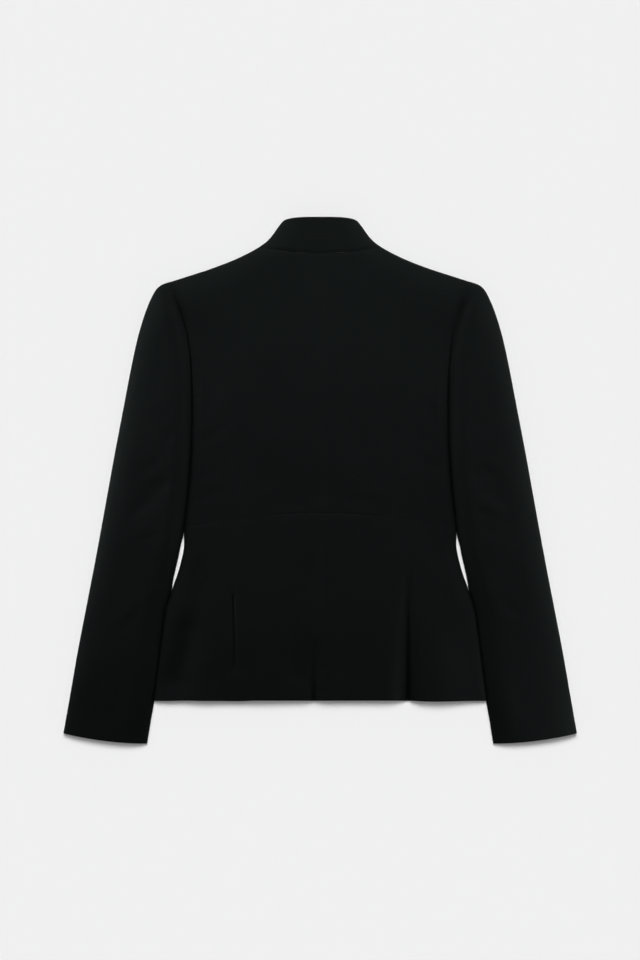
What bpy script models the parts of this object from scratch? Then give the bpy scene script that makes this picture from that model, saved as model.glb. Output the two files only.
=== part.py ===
"""Black tailored peplum jacket, laid flat on its front so that its back shows.

Every size is in millimetres, and becomes metres when a piece is made. X runs across the
jacket towards the wearer's right side, Y runs up the back to the collar, and Z is up from
the surface that the fronts lie on. The cut is the same on both sides, and only the folds
of the peplum differ.
"""

import bpy
import numpy as np

MM = 0.001

# Driving sizes
CLOTH = 2.0  # wall of the lined cloth
COLLAR_CLOTH = 2.6  # wall of the collar, which is interfaced
SEAM = 0.3  # between two pieces that are sewn together
WAIST_Y = -42.5  # waist seam at the centre back
WAIST_DROP = 18.0  # how far the waist seam falls towards the side seams
HEM_Y = -286.3
NECK_Y = 295.0  # collar seam at the centre back
NECK_HALF = 79.0  # from the centre back to where the collar seam meets the shoulder
NECK_LIFT = 8.5  # how far the collar seam rises towards the shoulder
FRONT_NECK_Y = 228.0  # neckline at the centre front
NECK_POWER = 2.2  # how squarely the neckline of the fronts curves
COLLAR_TOP_Y = 341.9
COLLAR_FRONT_TOP_Y = 269.0
SHOULDER_TIP = (192.8, 258.5)
LAP = 15.0  # the fronts pass the centre front by this much, right over left
TURN = 17.0  # how far in from an edge the upper cloth has turned level
LOW_TURN = 8.0  # the same for the sides of the cloth that lies on the surface
LOW_EDGE_TURN = 15.0  # and for its outer edge
EDGE_RISE = 8.5  # height of the shoulder line and of the sleeve's outer edge
PLAIN_TURN = 25.0  # over this distance the body's height passes into the sleeve's
LIP_WIDE = 0.0015  # a turned edge starts with an upright lip, this share of the turn wide
LIP_HIGH = 0.15  # and this share of it high
TURN_ANGLES = np.radians((0, 23, 45, 67, 90))  # where the rest of the turn has its points
SEAM_STEPS = (0.0, 1.2)  # where a sewn edge has its first points
LAP_SLOPE = (27.0, 16.5)  # the left front starts to rise here, and is up on the right one here


class Table:
    """A short table of sizes. Each named column is a smooth curve over the first one."""

    def __init__(self, names, *rows):
        values = np.array(rows, float).T
        self.keys = values[0]
        self.columns = dict(zip(names.split(), values))

    def __call__(self, name, where):
        keys, values = self.keys, self.columns[name]
        where = np.clip(where, keys[0], keys[-1])
        step = np.diff(keys)
        slope = np.diff(values) / step
        same_way = slope[:-1] * slope[1:] > 0
        total = np.where(same_way, slope[:-1] + slope[1:], 1.0)
        middle = np.where(same_way, 2 * slope[:-1] * slope[1:] / total, 0.0)
        tangent = np.concatenate([slope[:1], middle, slope[-1:]])
        i = np.clip(np.searchsorted(keys, where, side="right") - 1, 0, len(keys) - 2)
        t = (where - keys[i]) / step[i]
        start = (1 + 2 * t) * (1 - t) ** 2 * values[i] + t * (1 - t) ** 2 * step[i] * tangent[i]
        end = t * t * (3 - 2 * t) * values[i + 1] + t * t * (t - 1) * step[i] * tangent[i + 1]
        return start + end


# Where the body and the sleeve lie side by side: the armhole seam above the underarm, and
# below it the side seam of the body, with the sleeve's inner edge beside it. share and low
# are the heights of the upper and lower cloth at that edge, as shares of the height near
# it, and fold says how roundly the cloth turns there.
SIDE = Table(
    "y      x      gap  share low   fold",
    (-342.0, 226.1, 0.8, 0.42, 0.42, 1.0),
    (-312.0, 221.4, 0.8, 0.42, 0.42, 1.0),
    (-286.3, 216.8, 0.8, 0.42, 0.42, 1.0),
    (-240.0, 210.4, 0.8, 0.42, 0.42, 1.0),
    (-205.0, 206.0, 0.8, 0.42, 0.42, 1.0),
    (-170.0, 201.0, 0.8, 0.42, 0.42, 1.0),
    (-146.0, 194.0, 1.0, 0.42, 0.42, 1.0),
    (-125.0, 186.6, 3.6, 0.42, 0.42, 1.0),
    (-109.0, 181.7, 4.9, 0.42, 0.42, 1.0),
    (-94.0, 178.4, 5.0, 0.42, 0.42, 1.0),
    (-78.0, 177.0, 3.1, 0.42, 0.42, 1.0),
    (-64.0, 176.2, 1.0, 0.42, 0.42, 1.0),
    (-43.0, 174.6, 0.7, 0.42, 0.42, 1.0),
    (-23.0, 172.4, 0.6, 0.42, 0.42, 1.0),
    (8.0, 169.5, 0.6, 0.44, 0.40, 1.0),
    (40.0, 167.7, 0.5, 0.49, 0.37, 0.95),
    (70.0, 166.7, 0.5, 0.66, 0.22, 0.55),
    (103.0, 166.5, 0.5, 0.82, 0.06, 0.25),
    (130.0, 167.0, 0.5, 0.88, 0.0, 0.1),
    (156.0, 168.6, 0.5, 0.90, 0.0, 0.0),
    (182.0, 171.6, 0.5, 0.90, 0.0, 0.0),
    (208.0, 178.0, 0.6, 0.91, 0.0, 0.0),
    (222.0, 183.2, 0.7, 0.92, 0.0, 0.0),
    (238.0, 189.0, 0.7, 0.94, 0.0, 0.0),
    (258.5, 192.8, 0.5, 0.97, 0.0, 0.0),
)
# The outline from the top corner of the collar, down the collar and the shoulder.
SHOULDER = Table(
    "x      y",
    (47.5, 338.0),
    (52.8, 331.5),
    (56.6, 326.3),
    (60.2, 321.1),
    (64.2, 315.9),
    (69.5, 310.4),
    (79.0, 303.5),
    (93.7, 295.1),
    (115.4, 285.0),
    (143.9, 274.3),
    (176.3, 263.8),
    (192.8, 258.5),
)
# The outer edge of the sleeve, from the cuff to the shoulder tip.
SLEEVE_EDGE = Table(
    "y      x",
    (-328.5, 333.6),
    (-281.0, 325.2),
    (-218.0, 314.2),
    (-156.0, 302.2),
    (-94.0, 290.3),
    (-31.0, 278.8),
    (31.0, 267.6),
    (94.0, 255.6),
    (156.0, 243.6),
    (187.0, 236.6),
    (218.0, 227.2),
    (237.0, 219.4),
    (248.0, 213.2),
    (253.5, 207.0),
    (256.5, 200.0),
    (258.5, 192.8),
)
# The princess seam of the back and the peplum, and the waist seam crosses it.
PRINCESS = Table(
    "y      x",
    (-286.3, 115.5),
    (-200.0, 115.0),
    (-140.0, 113.5),
    (-100.0, 107.0),
    (-48.0, 99.0),
    (0.0, 106.0),
    (40.0, 115.0),
    (80.0, 125.0),
    (120.0, 137.0),
    (140.0, 147.0),
    (150.0, 156.5),
    (156.5, 166.6),
    (159.0, 168.6),
)
# Height of the upper cloth along the centre back, and of the middle of the sleeve.
HEIGHT = Table(
    "y      body  sleeve",
    (-342.0, 15.0, 14.5),
    (-286.0, 15.5, 15.0),
    (-200.0, 15.5, 16.5),
    (-110.0, 14.0, 18.0),
    (-43.0, 12.8, 19.0),
    (40.0, 15.0, 20.0),
    (130.0, 18.0, 21.0),
    (200.0, 20.0, 23.5),
    (258.0, 21.5, 25.0),
    (295.0, 22.0, 25.0),
    (342.0, 25.0, 25.0),
)
# Soft forms in the upper cloth, each round a line from one point to another: troughs where
# the depth is negative, and the fullness over the shoulder pads where it is positive.
FORMS = (
    # x, y from   x, y to       width from, to  depth from, to
    (116.0, -128.0, 116.5, -300.0, 4.0, 11.0, -1.0, -7.0),  # deep fold at the right princess line
    (88.0, -120.0, 91.0, -300.0, 12.0, 17.0, 0.5, 3.0),
    (150.0, -150.0, 156.0, -300.0, 16.0, 20.0, 0.5, 3.0),
    (-114.0, -150.0, -113.5, -245.0, 4.0, 6.0, -1.6, -2.4),  # fold at the left princess line
    (-8.0, -215.0, -9.0, -300.0, 6.0, 8.0, -0.8, -4.2),  # fold at the centre of the hem
    (14.0, -190.0, 16.0, -300.0, 9.0, 13.0, 0.4, 1.8),
    (-31.0, -150.0, -33.0, -250.0, 9.0, 12.0, -0.8, -1.8),
    (-62.0, -130.0, -64.0, -300.0, 18.0, 24.0, 0.3, 2.2),
    (-126.0, -72.0, -188.0, -262.0, 14.0, 20.0, -1.2, -3.6),  # hollow across the left hip
    (-150.0, -240.0, -146.0, -300.0, 14.0, 18.0, 1.2, 2.4),
    (186.0, -170.0, 200.0, -300.0, 10.0, 14.0, -0.6, -2.2),
    (140.0, 238.0, 196.0, 226.0, 34.0, 26.0, 3.6, 3.0),  # right shoulder pad
    (-140.0, 238.0, -196.0, 226.0, 34.0, 26.0, 3.6, 3.0),
    (80.0, 170.0, 92.0, 90.0, 42.0, 46.0, 1.6, 1.0),  # shoulder blades
    (-80.0, 170.0, -92.0, 90.0, 42.0, 46.0, 1.6, 1.0),
    (0.0, 250.0, 0.0, -20.0, 12.0, 9.0, -0.7, -1.2),  # hollow down the centre back
    (203.0, 10.0, 252.0, -20.0, 9.0, 14.0, -1.8, -0.6),  # creases at the bend of the elbow
    (-205.0, -4.0, -250.0, -38.0, 9.0, 13.0, -1.9, -0.6),
    (207.0, -40.0, 246.0, -62.0, 8.0, 11.0, -1.3, -0.5),
    (-196.0, 58.0, -232.0, 78.0, 9.0, 13.0, -1.3, -0.5),
)
WAIST_DIP = 1.1  # how far the waist seam draws the cloth down
NECK_DIP = 1.0  # the same for the collar seam
DIP_WIDTH = 6.0
CROSS_DOME = 2.2  # the back is this much lower beside the side seams


def ease(share):
    """0 to 1 with level ends."""
    share = np.clip(share, 0, 1)
    return share * share * (3 - 2 * share)


def turned(share):
    """0 at a turned edge and 1 where the cloth is level: an upright lip, then an ellipse."""
    lip = LIP_HIGH * np.clip(share / LIP_WIDE, 0, 1)
    curve = np.clip((share - LIP_WIDE) / (1 - LIP_WIDE), 0, 1)
    return lip + (1 - LIP_HIGH) * np.sqrt(1 - (1 - curve) ** 2)


def outline_points():
    """The outer edge of the jacket in plan, on one side, from the collar to the cuff."""
    x = np.linspace(SHOULDER.keys[0], SHOULDER_TIP[0], 70)
    near_tip = np.linspace(SHOULDER_TIP[1], 230.0, 60)
    y = np.concatenate([near_tip[1:], np.linspace(230.0, SLEEVE_EDGE.keys[0], 90)[1:]])
    shoulder = np.stack([x, SHOULDER("y", x)], 1)
    return np.concatenate([shoulder, np.stack([SLEEVE_EDGE("x", y), y], 1)])


OUTLINE = outline_points()


def distance_in(across, y):
    """How far points of the plan are from the outer edge."""
    start, step = OUTLINE[:-1], np.diff(OUTLINE, axis=0)
    point = np.stack([across, y], -1)[..., None, :]
    t = ((point - start) * step).sum(-1) / (step**2).sum(-1)
    nearest = start + np.clip(t, 0, 1)[..., None] * step
    return np.sqrt(((point - nearest) ** 2).sum(-1)).min(-1)


def form_height(x, y):
    """What the soft forms add to the upper cloth."""
    total = np.zeros_like(x)
    for x0, y0, x1, y1, wide0, wide1, deep0, deep1 in FORMS:
        along_x, along_y = x1 - x0, y1 - y0
        t = ((x - x0) * along_x + (y - y0) * along_y) / (along_x**2 + along_y**2)
        t = np.clip(t, 0, 1)
        away = (x - x0 - t * along_x) ** 2 + (y - y0 - t * along_y) ** 2
        width = wide0 + t * (wide1 - wide0)
        total += (deep0 + t * (deep1 - deep0)) * np.exp(-away / width**2)
    return total


def waist_y(x):
    return WAIST_Y - WAIST_DROP * (x / 175.0) ** 2


def neck_y(x):
    return NECK_Y + NECK_LIFT * (x / NECK_HALF) ** 2


def plain_height(x, y):
    """Height of the upper cloth away from its edges, without its soft forms."""
    across, side = np.abs(x), SIDE("x", y)
    inside = np.minimum(across, side)
    body = HEIGHT("body", y) - CROSS_DOME * (inside / side) ** 2
    over_sleeve = ease((across - side) / PLAIN_TURN)
    return body + (HEIGHT("sleeve", y) - body) * over_sleeve


def level_height(x, y):
    """Height of the upper cloth away from its edges."""
    on_body = 1 - ease((np.abs(x) - SIDE("x", y)) / PLAIN_TURN)
    at_waist = np.exp(-(((y - waist_y(x)) / DIP_WIDTH) ** 2)) * on_body
    at_neck = np.exp(-(((y - neck_y(x)) / DIP_WIDTH) ** 2))
    height = plain_height(x, y) + form_height(x, y)
    return height - WAIST_DIP * at_waist - NECK_DIP * at_neck


def side_shape(across, y):
    """0 at the side seam or armhole, and 1 where the cloth beside it has turned level."""
    side = SIDE("x", y)
    away = np.maximum(side - across, across - side - SIDE("gap", y))
    fold = SIDE("fold", y)
    return (1 - fold) * ease(away / TURN) + fold * turned(away / TURN)


def upper_height(x, y):
    """Outer face of the upper cloth: the back, the back of the collar and the sleeves."""
    across = np.abs(x)
    side_edge = plain_height(SIDE("x", y), y) * SIDE("share", y)
    height = side_edge + (level_height(x, y) - side_edge) * side_shape(across, y)
    over_edge = np.maximum(height - EDGE_RISE, 0)
    return height - over_edge * (1 - turned(distance_in(across, y) / TURN))


def lower_height(x, y, edge_gap):
    """Outer face of the lower cloth, flat on the surface but for its turned edges."""
    across = np.abs(x)
    side = SIDE("x", y)
    away = np.maximum(side - across, across - side - SIDE("gap", y))
    beside = plain_height(side, y)
    at_side = np.maximum(beside * SIDE("low", y) - SEAM, 0) * (1 - turned(away / LOW_TURN))
    at_edge = (EDGE_RISE - edge_gap) * (1 - turned(distance_in(across, y) / LOW_EDGE_TURN))
    return np.maximum(at_side, at_edge)


def turn_steps(width, fold=1.0):
    """Distances from a turned edge, close together where the cloth turns most."""
    round_steps = width * np.array([0, *(LIP_WIDE + (1 - LIP_WIDE) * (1 - np.cos(TURN_ANGLES)))])
    even_steps = np.array([0, 1.2, *np.linspace(3.5, width, len(TURN_ANGLES) - 1)])
    return fold * round_steps + (1 - fold) * even_steps


def spaced(length, start, end, inner):
    """Places from 0 to 1 along a row of this length: close steps at both ends."""
    start, end = np.asarray(start, float), np.asarray(end, float)
    shrink = min(1.0, 0.9 * length / (start[-1] + end[-1]))
    start, end = start * shrink, end * shrink
    middle = np.linspace(start[-1], length - end[-1], inner + 2)[1:-1]
    return np.concatenate([start, middle, length - end[::-1]]) / length


def between(first, last, start, end, inner):
    """Places from one distance across the jacket to another, with close steps at both ends."""
    return first + spaced(abs(last - first), start, end, inner) * (last - first)


def cloth_piece(name, rows, material, thickness=CLOTH):
    """A sewn piece: an open face through rows of points, with its wall turned inwards."""
    rows = np.array(rows)
    count, across = rows.shape[:2]
    faces = [
        (i * across + j, i * across + j + 1, (i + 1) * across + j + 1, (i + 1) * across + j)
        for i in range(count - 1)
        for j in range(across - 1)
    ]
    mesh = bpy.data.meshes.new(name)
    mesh.from_pydata((rows.reshape(-1, 3) * MM).tolist(), [], faces)
    mesh.shade_smooth()
    mesh.materials.append(material)
    piece = bpy.data.objects.new(name, mesh)
    wall = piece.modifiers.new("wall", "SOLIDIFY")
    wall.thickness = thickness * MM
    wall.offset = -1
    return piece


def upper_row(side, across, y):
    """A row of the upper cloth on one side, ordered so that its face points up."""
    x = side * across
    row = np.stack([x, y, upper_height(x, y)], 1)
    return row if side > 0 else row[::-1]


def solve_across(edge, row_y, start):
    """Where a slanting row meets an edge that is known by its height on the jacket."""
    across = start
    for _ in range(30):
        across = float(edge(row_y(across)))
    return across


# Rows of the back above the waist: height at the centre, and how far each row follows the
# shoulder and the waist seam.
BACK_ROWS = Table(
    "base   top  waist",
    (-42.5, 0, 1),
    (-41.2, 0, 1),
    (-36.0, 0, 0.95),
    (-20.0, 0, 0.7),
    (8.0, 0, 0.4),
    (38.0, 0, 0.15),
    (58.0, 0, 0),
    (80.0, 0, 0),
    (108.0, 0, 0),
    (134.0, 0, 0),
    (149.0, 0, 0),
    (156.5, 0, 0),
    (159.0, 0, 0),
    (182.0, 0.1, 0),
    (210.0, 0.32, 0),
    (238.0, 0.6, 0),
    (260.0, 0.84, 0),
    (272.0, 0.95, 0),
)
SIDE_BACK_ROWS = 12  # the side back ends at the row where the princess seam meets the armhole
TOP_REF = 300.0


def shoulder_y(across):
    """Top edge of the body above a point: collar seam, then shoulder line."""
    return np.where(across < NECK_HALF, neck_y(across), SHOULDER("y", np.maximum(across, NECK_HALF)))


def back_row_y(k):
    """The height of one row of the back, as a function of the distance across."""
    rows = len(BACK_ROWS.keys)
    if k < rows:
        base, top, waist = (BACK_ROWS.columns[n][k] for n in ("base", "top", "waist"))
        lift = SEAM / 2 * (waist == 1)
        return lambda a: base + lift + top * (shoulder_y(a) - TOP_REF) + waist * (waist_y(a) - WAIST_Y)
    down = turn_steps(TURN)[::-1][k - rows]
    inset = SEAM / 2
    return lambda a: shoulder_y(a) - inset * (np.asarray(a) < NECK_HALF) - down


BACK_ROW_COUNT = len(BACK_ROWS.keys) + len(TURN_ANGLES) + 1


NECK_STEPS = (0.0, 0.035, 1.8, 6.0, 13.0, 23.0)  # columns beside the end of the collar seam


def body_edge(y):
    return SIDE("x", y)


def back_panel(side, name, material):
    """Centre back: from the centre seam to the princess seam, and to the armhole above it."""
    rows = []
    for k in range(BACK_ROW_COUNT):
        row_y = back_row_y(k)
        if k < SIDE_BACK_ROWS:
            reach = solve_across(lambda y: PRINCESS("x", y), row_y, 120.0) - SEAM / 2
        else:
            reach = solve_across(body_edge, row_y, 170.0)
        middle = reach * NECK_HALF / SHOULDER_TIP[0]
        inner = between(SEAM / 2, middle, SEAM_STEPS + (8.0,), NECK_STEPS, 1)
        outer = between(middle, reach, (0.0,), (0.0, 1.2, 5.0, 11.0), 3)
        across = np.concatenate([inner, outer[1:]])
        rows.append(upper_row(side, across, row_y(across)))
    return cloth_piece(name, rows, material)


def side_back_panel(side, name, material):
    """Side back: from the princess seam to the side seam and the lower armhole."""
    rows = []
    for k in range(SIDE_BACK_ROWS):
        row_y = back_row_y(k)
        start = solve_across(lambda y: PRINCESS("x", y), row_y, 120.0) + SEAM / 2
        reach = solve_across(body_edge, row_y, 170.0)
        fold = float(SIDE("fold", row_y(reach)))
        across = between(start, reach, SEAM_STEPS, turn_steps(TURN, fold), 2)
        rows.append(upper_row(side, across, row_y(across)))
    return cloth_piece(name, rows, material)


PEPLUM_ROWS = (0.0, 0.0055, 0.07, 0.18, 0.3, 0.42, 0.54, 0.66, 0.78, 0.89, 1.0)
HEM_WAVES = (
    # x, rise, width
    (90.0, 1.4, 22.0),
    (150.0, -0.9, 30.0),
    (-60.0, 0.6, 40.0),
    (-104.0, -0.6, 20.0),
    (-176.0, 0.5, 14.0),
)


def hem_y(x):
    """The hem, drawn up a little where a wave of the peplum stands high."""
    return HEM_Y + sum(rise * np.exp(-(((x - at) / wide) ** 2)) for at, rise, wide in HEM_WAVES)


def peplum_row_y(side, share):
    def row_y(across):
        x = side * np.asarray(across)
        top = waist_y(x) - SEAM / 2
        return top + share * (hem_y(x) - top)

    return row_y


def peplum_back(side, name, material):
    """Peplum from the centre seam to the princess line."""
    rows = []
    for share in PEPLUM_ROWS:
        row_y = peplum_row_y(side, share)
        reach = solve_across(lambda y: PRINCESS("x", y), row_y, 110.0) - SEAM / 2
        across = between(SEAM / 2, reach, (0.0, 1.2, 6.0, 12.0, 19.0), (0.0, 1.2, 5.0, 10.0, 17.0), 4)
        rows.append(upper_row(side, across, row_y(across)))
    return cloth_piece(name, rows[::-1], material)


def peplum_side(side, name, material):
    """Peplum from the princess line to the side seam."""
    rows = []
    for share in PEPLUM_ROWS:
        row_y = peplum_row_y(side, share)
        start = solve_across(lambda y: PRINCESS("x", y), row_y, 110.0) + SEAM / 2
        reach = solve_across(body_edge, row_y, 180.0)
        across = between(start, reach, (0.0, 1.2, 5.0, 10.0), turn_steps(TURN), 3)
        rows.append(upper_row(side, across, row_y(across)))
    return cloth_piece(name, rows[::-1], material)


# Places across the neckline of the fronts, from the centre to the end of the collar seam.
NECKLINE = np.array((16.5, 21.75, 27.0, 39.0, 50.0, 60.0, 68.0, 73.5, 76.8, 78.4, 79.0)) / NECK_HALF


def front_neck_y(across):
    """Neckline of the fronts, which the front of the collar is sewn to."""
    rise = SHOULDER("y", NECK_HALF) - FRONT_NECK_Y
    curve = FRONT_NECK_Y + rise * (across / NECK_HALF) ** NECK_POWER
    return np.where(across < NECK_HALF, curve, SHOULDER("y", np.maximum(across, NECK_HALF)))


def lap_height(side, x):
    """The left front lies on the right one where they lap."""
    if side > 0:
        return np.zeros_like(x)
    start, end = LAP_SLOPE
    return (CLOTH + SEAM) * np.clip((x + start) / (start - end), 0, 1)


def lower_row(side, across, y, edge_gap, lap=False):
    """A row of the lower cloth on one side, ordered so that its face points down."""
    x = side * across
    height = lower_height(x, y, edge_gap) + (lap_height(side, x) if lap else 0)
    row = np.stack([x, y, height], 1)[::-1]
    return row if side > 0 else row[::-1]


FRONT_ROWS = Table(
    "base   top  waist",
    (-42.5, 0, 1),
    (8.0, 0, 0.4),
    (38.0, 0, 0.15),
    (58.0, 0, 0),
    (80.0, 0, 0),
    (108.0, 0, 0),
    (150.0, 0.04, 0),
    (200.0, 0.3, 0),
    (240.0, 0.66, 0),
    (268.0, 0.92, 0),
)


def front_row_y(k):
    """The height of one row of a front, as a function of the distance across."""
    rows = len(FRONT_ROWS.keys)
    if k < rows:
        base, top, waist = (FRONT_ROWS.columns[n][k] for n in ("base", "top", "waist"))
        lift = SEAM / 2 * (waist == 1)
        return lambda a: (
            base + lift + top * (front_neck_y(np.abs(a)) - TOP_REF) + waist * (waist_y(a) - WAIST_Y)
        )
    down = turn_steps(LOW_EDGE_TURN)[::-1][k - rows]
    return lambda a: front_neck_y(np.abs(a)) - SEAM * (np.abs(a) < NECK_HALF - 1) - down


def front_panel(side, name, material):
    """Front above the waist: from its lap at the centre to the side seam and armhole."""
    rows = []
    for k in range(len(FRONT_ROWS.keys) + len(TURN_ANGLES) + 1):
        row_y = front_row_y(k)
        reach = solve_across(body_edge, row_y, 170.0)
        steps = turn_steps(LOW_TURN, float(SIDE("fold", row_y(reach))))
        outer = between(NECK_HALF, reach, (0.0,), steps, 3)
        across = np.concatenate([(-LAP, 1.0), NECKLINE[:-1] * NECK_HALF, outer])
        rows.append(lower_row(side, across, row_y(across), SEAM, lap=True))
    return cloth_piece(name, rows, material)


PEPLUM_FRONT_ROWS = (0.0, 0.18, 0.42, 0.66, 1.0)


def peplum_front(side, name, material):
    """Front of the peplum, from its lap at the centre to the side seam."""
    rows = []
    for share in PEPLUM_FRONT_ROWS:
        row_y = peplum_row_y(0, share)
        middle = float(row_y(0))
        dip = 1 - share
        reach = solve_across(body_edge, lambda a: middle + (waist_y(a) - WAIST_Y) * dip, 180.0)
        outer = between(27.0, reach, (0.0,), turn_steps(LOW_TURN), 3)
        across = np.concatenate([(-LAP, 1.0, 16.5, 21.75), outer])
        y = middle + (waist_y(across) - WAIST_Y) * dip
        rows.append(lower_row(side, across, y, SEAM, lap=True))
    return cloth_piece(name, rows[::-1], material)


# Rows of the sleeve: where each leaves the inner edge and reaches the outer edge, how much
# of the armhole's curve it has, and how much it bows down, as the cuff does.
SLEEVE_ROWS = (
    # inner y, outer y, curve, bow
    (-342.0, -328.5, 0.0, 3.0),
    (-340.8, -327.3, 0.0, 3.0),
    (-298.0, -284.0, 0.0, 2.0),
    (-252.0, -236.0, 0.0, 1.0),
    (-206.0, -189.0, 0.0, 0.4),
    (-164.0, -146.0, 0.0, 0.0),
    (-128.0, -108.0, 0.0, 0.0),
    (-96.0, -74.0, 0.0, 0.0),
    (-66.0, -41.0, 0.0, 0.0),
    (-34.0, -4.0, 0.0, 0.0),
    (-8.0, 40.0, 0.05, 0.0),
    (16.0, 85.0, 0.2, 0.0),
    (34.0, 128.0, 0.45, 0.0),
    (49.0, 168.0, 0.7, 0.0),
    (61.0, 205.0, 0.87, 0.0),
    (69.0, 232.0, 0.95, 0.0),
    (74.5, 247.0, 0.98, 0.0),
    (78.0, 254.5, 0.994, 0.0),
    (80.0, 258.5, 1.0, 0.0),
)
SLEEVE_COLUMNS = (0.2, 0.3, 0.41, 0.52, 0.62, 0.71, 0.79)
ARMHOLE_STEPS = np.array((0.0, 5.0, 10.0, 16.0, 23.0, 30.0))
FOREARM = 0.6  # the forearm seam crosses the under side at this share of its width from outside


def sleeve_side(y):
    """Where the sleeve lies beside the body."""
    return SIDE("x", y) + SIDE("gap", y)


def armhole_bend(u):
    """How far the armhole bends from the straight line between the ends of the last row."""
    low, top = SLEEVE_ROWS[-1][0], SLEEVE_ROWS[-1][1]
    line = (1 - u) * sleeve_side(low) + u * sleeve_side(top)
    return sleeve_side(low + u * (top - low)) - line


def sleeve_path(row, places):
    """Points of the plan across the sleeve, from its inner edge to its outer edge."""
    inner_y, outer_y, curve, bow = row
    u = np.asarray(places)
    last = outer_y >= SHOULDER_TIP[1]
    outer_x = sleeve_side(outer_y) if last else float(SLEEVE_EDGE("x", outer_y))
    x = (1 - u) * sleeve_side(inner_y) + u * outer_x + curve * armhole_bend(u)
    y = (1 - u) * inner_y + u * outer_y - bow * 4 * u * (1 - u)
    return x, y


def sleeve_length(row):
    x, y = sleeve_path(row, (0.0, 1.0))
    return float(np.hypot(x[1] - x[0], y[1] - y[0]))


def outer_steps(row, width):
    """Steps from the outer edge, longer where the row meets that edge at a slant."""
    length = sleeve_length(row)
    slant = float(distance_in(*sleeve_path(row, (1 - 2.0 / length,)))[0]) / 2.0
    return turn_steps(width) / slant / length


def inner_steps(row, width):
    """Steps from the inner edge, which become even ones towards the armhole."""
    even = max(row[2] ** 2, 1 - float(SIDE("fold", row[0])))
    return ((1 - even) * turn_steps(width) + even * ARMHOLE_STEPS) / sleeve_length(row)


def sleeve_row(side, row, upper_places, lower_places):
    """Points round the sleeve: over the top from the inner edge, then back underneath."""
    across, y = sleeve_path(row, np.concatenate([upper_places, lower_places]))
    x = side * across
    over = np.arange(len(x)) < len(upper_places)
    z = np.where(over, upper_height(x, y), lower_height(x, y, 0.0))
    points = np.stack([x, y, z], 1)
    return points if side > 0 else points[::-1]


def top_sleeve(side, name, material):
    """Upper part of the sleeve: from the inner edge, round the outer edge to the forearm seam."""
    rows = []
    for row in SLEEVE_ROWS:
        seam = 1 - FOREARM + SEAM / 2 / sleeve_length(row)
        over = [inner_steps(row, TURN), SLEEVE_COLUMNS, 1 - outer_steps(row, TURN)[::-1]]
        turn = 1 - outer_steps(row, LOW_EDGE_TURN)[1:]
        under = [turn, (0.5 * (turn[-1] + seam), seam)]
        rows.append(sleeve_row(side, row, np.concatenate(over), np.concatenate(under)))
    return cloth_piece(name, rows, material)


def under_sleeve(side, name, material):
    """Under part of the sleeve: from the forearm seam to the inner edge."""
    rows = []
    for row in SLEEVE_ROWS:
        seam = 1 - FOREARM - SEAM / 2 / sleeve_length(row)
        turn = inner_steps(row, LOW_TURN)[::-1]
        places = np.concatenate([(seam, 0.5 * (seam + turn[0])), turn])
        rows.append(sleeve_row(side, row, (), places))
    return cloth_piece(name, rows, material)


COLLAR_ROWS = (0.0, 0.03, 0.2, 0.42, 0.66, 0.86, 1.0)
COLLAR_END = 0.6  # from the centre front to each end of the collar
COLLAR_FOLD = Table(
    "share x",
    (0.0, 78.6),
    (0.2, 69.5),
    (0.4, 62.2),
    (0.6, 57.1),
    (0.8, 53.0),
    (1.0, 47.6),
)


def collar_row(share):
    """Points round the collar at one share of its height, from centre front to centre front."""
    fold_x = float(COLLAR_FOLD("x", share))
    fold_y = float(SHOULDER("y", fold_x))
    back_y = NECK_Y + SEAM / 2 + share * (COLLAR_TOP_Y - NECK_Y - SEAM / 2)
    power = 2.0 + 2.0 * share
    x = between(0.0, fold_x, (0.0,), turn_steps(TURN) / (0.75 - 0.2 * share), 4)
    places = x / fold_x
    y = back_y + (fold_y - back_y) * places**power
    back = np.stack([x, y, upper_height(x, y)], 1)
    front_y = FRONT_NECK_Y + SEAM / 2 + share * (COLLAR_FRONT_TOP_Y - FRONT_NECK_Y)
    x = np.concatenate([fold_x * NECKLINE[-2::-1], (COLLAR_END,)])
    y = front_y + (fold_y - front_y) * (x / fold_x) ** NECK_POWER
    front = np.stack([x, y, lower_height(x, y, 0.0)], 1)
    right = np.concatenate([back, front])
    left = right[::-1] * (-1, 1, 1)
    return np.concatenate([left[:-1], right])


def collar(name, material):
    """Stand collar: one band that lies round the neck, open at the centre front."""
    return cloth_piece(name, [collar_row(share) for share in COLLAR_ROWS], material, COLLAR_CLOTH)


def black_cloth(name, grey):
    """Matt black suiting."""
    material = bpy.data.materials.new(name)
    material.use_nodes = True
    shader = material.node_tree.nodes["Principled BSDF"]
    shader.inputs["Base Color"].default_value = (grey, grey * 1.03, grey, 1)
    shader.inputs["Roughness"].default_value = 0.9
    shader.inputs["Metallic"].default_value = 0.0
    return material


def clear_scene():
    for item in list(bpy.data.objects):
        bpy.data.objects.remove(item, do_unlink=True)


def main():
    clear_scene()
    jacket = bpy.data.collections.new("peplum_jacket")
    bpy.context.scene.collection.children.link(jacket)
    suiting = black_cloth("suiting", 0.012)
    band = black_cloth("collar_suiting", 0.013)
    makers = {
        "back": back_panel,
        "side_back": side_back_panel,
        "peplum_back": peplum_back,
        "peplum_side": peplum_side,
        "front": front_panel,
        "peplum_front": peplum_front,
        "top_sleeve": top_sleeve,
        "under_sleeve": under_sleeve,
    }
    for stem, make in makers.items():
        for side, word in ((-1, "left"), (1, "right")):
            jacket.objects.link(make(side, f"{stem}_{word}", suiting))
    jacket.objects.link(collar("collar", band))


main()
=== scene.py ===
"""The finished look of a black tailored peplum jacket, laid flat with its back up.

Sizes are in millimetres, and become metres when a piece is made. X runs across the jacket
towards the wearer's right side, Y runs up the back to the collar, and Z is up from the
floor. Each panel follows the curves of its solid in the frame, and adds the thin wall,
seams, creases and sewing of the real cloth.
"""

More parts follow.
